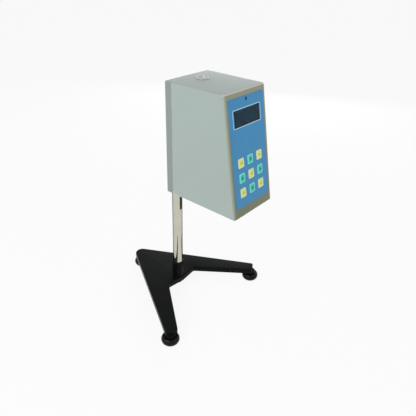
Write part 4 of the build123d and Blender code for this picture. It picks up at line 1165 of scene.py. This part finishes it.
stageLook = {
    "floorSize": 60.0,
    "floorColour": (0.97, 0.97, 0.97, 1),
    "floorGlow": 0.9,            # share of plain white that is seen in the floor beside its shadows
    "roomLight": 0.42,           # strength of the room's light on the piece
    "roomSeen": 0.95,            # strength at which the room itself is seen
}
white = (1, 1, 1, 1)


def seenDirectly(tree):
    # 1 where the camera looks at a surface, also in gloss and through glass
    path = tree.nodes.new("ShaderNodeLightPath")
    seen = mathNode(tree, "MAXIMUM", path.outputs["Is Camera Ray"], path.outputs["Is Glossy Ray"])
    return mathNode(tree, "MAXIMUM", seen, path.outputs["Is Transmission Ray"])


def buildFloor():
    look = stageLook
    deselectAll()
    bpy.ops.mesh.primitive_plane_add(size=look["floorSize"], location=(0, 0, 0))
    floor = bpy.context.active_object
    floor.name = "floor"
    plain = {"Base Color": look["floorColour"], "Roughness": 0.9, "Specular IOR Level": 0.1}
    material, tree, shader = startMaterial("paleFloor", plain)
    glow = addNode(tree, "ShaderNodeEmission", {}, {"Color": white, "Strength": 1.0})
    share = mathNode(tree, "MULTIPLY", seenDirectly(tree), look["floorGlow"])
    blend = tree.nodes.new("ShaderNodeMixShader")
    joinSockets(tree, share, blend.inputs[0])
    joinSockets(tree, shader.outputs[0], blend.inputs[1])
    joinSockets(tree, glow.outputs[0], blend.inputs[2])
    joinSockets(tree, blend.outputs[0], tree.nodes["Material Output"].inputs["Surface"])
    floor.data.materials.append(material)


def buildRoom():
    look = stageLook
    world = bpy.data.worlds.new("paleRoom")
    scene.world = world
    world.use_nodes = True
    tree = world.node_tree
    background = tree.nodes["Background"]
    background.inputs["Color"].default_value = white
    limits = {"To Min": look["roomLight"], "To Max": look["roomSeen"]}
    strength = addNode(tree, "ShaderNodeMapRange", {}, limits)
    joinSockets(tree, seenDirectly(tree), strength.inputs["Value"])
    joinSockets(tree, strength.outputs["Result"], background.inputs["Strength"])


lampTarget = Vector((0, 0, 0.28))
lamps = {
    "sideLamp": {"place": (-1.5, -0.1, 1.0), "size": (1.2, 1.0), "energy": 12.5, "colour": (1.0, 1.0, 0.97)},
    "frontLamp": {"place": (0.5, -1.6, 1.1), "size": (1.2, 0.9), "energy": 3.5, "colour": (1.0, 1.0, 1.0)},
    "topLamp": {"place": (0.0, 0.3, 1.9), "size": (1.4, 1.4), "energy": 1.0, "colour": (1.0, 0.95, 0.9)},
    "fillLamp": {"place": (1.35, 0.75, 0.42), "size": (1.2, 0.4), "energy": 5.5, "colour": (1.0, 1.0, 1.0)},
}


def buildLamps():
    for name, look in lamps.items():
        lamp = bpy.data.lights.new(name, "AREA")
        lamp.shape = "RECTANGLE"
        lamp.size, lamp.size_y = look["size"]
        lamp.energy = look["energy"]
        lamp.color = look["colour"]
        holder = bpy.data.objects.new(name, lamp)
        scene.collection.objects.link(holder)
        holder.location = look["place"]
        holder.rotation_euler = (lampTarget - holder.location).to_track_quat("-Z", "Y").to_euler()


cameraView = {
    "place": (-0.5179, -0.4824, 0.6124),
    "turn": 50.38,               # clockwise from looking along Y
    "tilt": 30.35,               # down from level
    "roll": 1.62,
    "lens": 38.08,
    "sensor": 36.0,
}


def buildCamera():
    view = cameraView
    camera = bpy.data.cameras.new("camera")
    camera.lens = view["lens"]
    camera.sensor_width = view["sensor"]
    holder = bpy.data.objects.new("camera", camera)
    scene.collection.objects.link(holder)
    turn = Matrix.Rotation(math.radians(-view["turn"]), 4, "Z")
    tilt = Matrix.Rotation(math.radians(90 - view["tilt"]), 4, "X")
    roll = Matrix.Rotation(math.radians(view["roll"]), 4, "Z")
    holder.matrix_world = Matrix.Translation(view["place"]) @ turn @ tilt @ roll
    scene.camera = holder


buildFloor()
buildRoom()
buildLamps()
buildCamera()
scene.view_settings.view_transform = "Standard"
print("stage, lamps and camera placed")
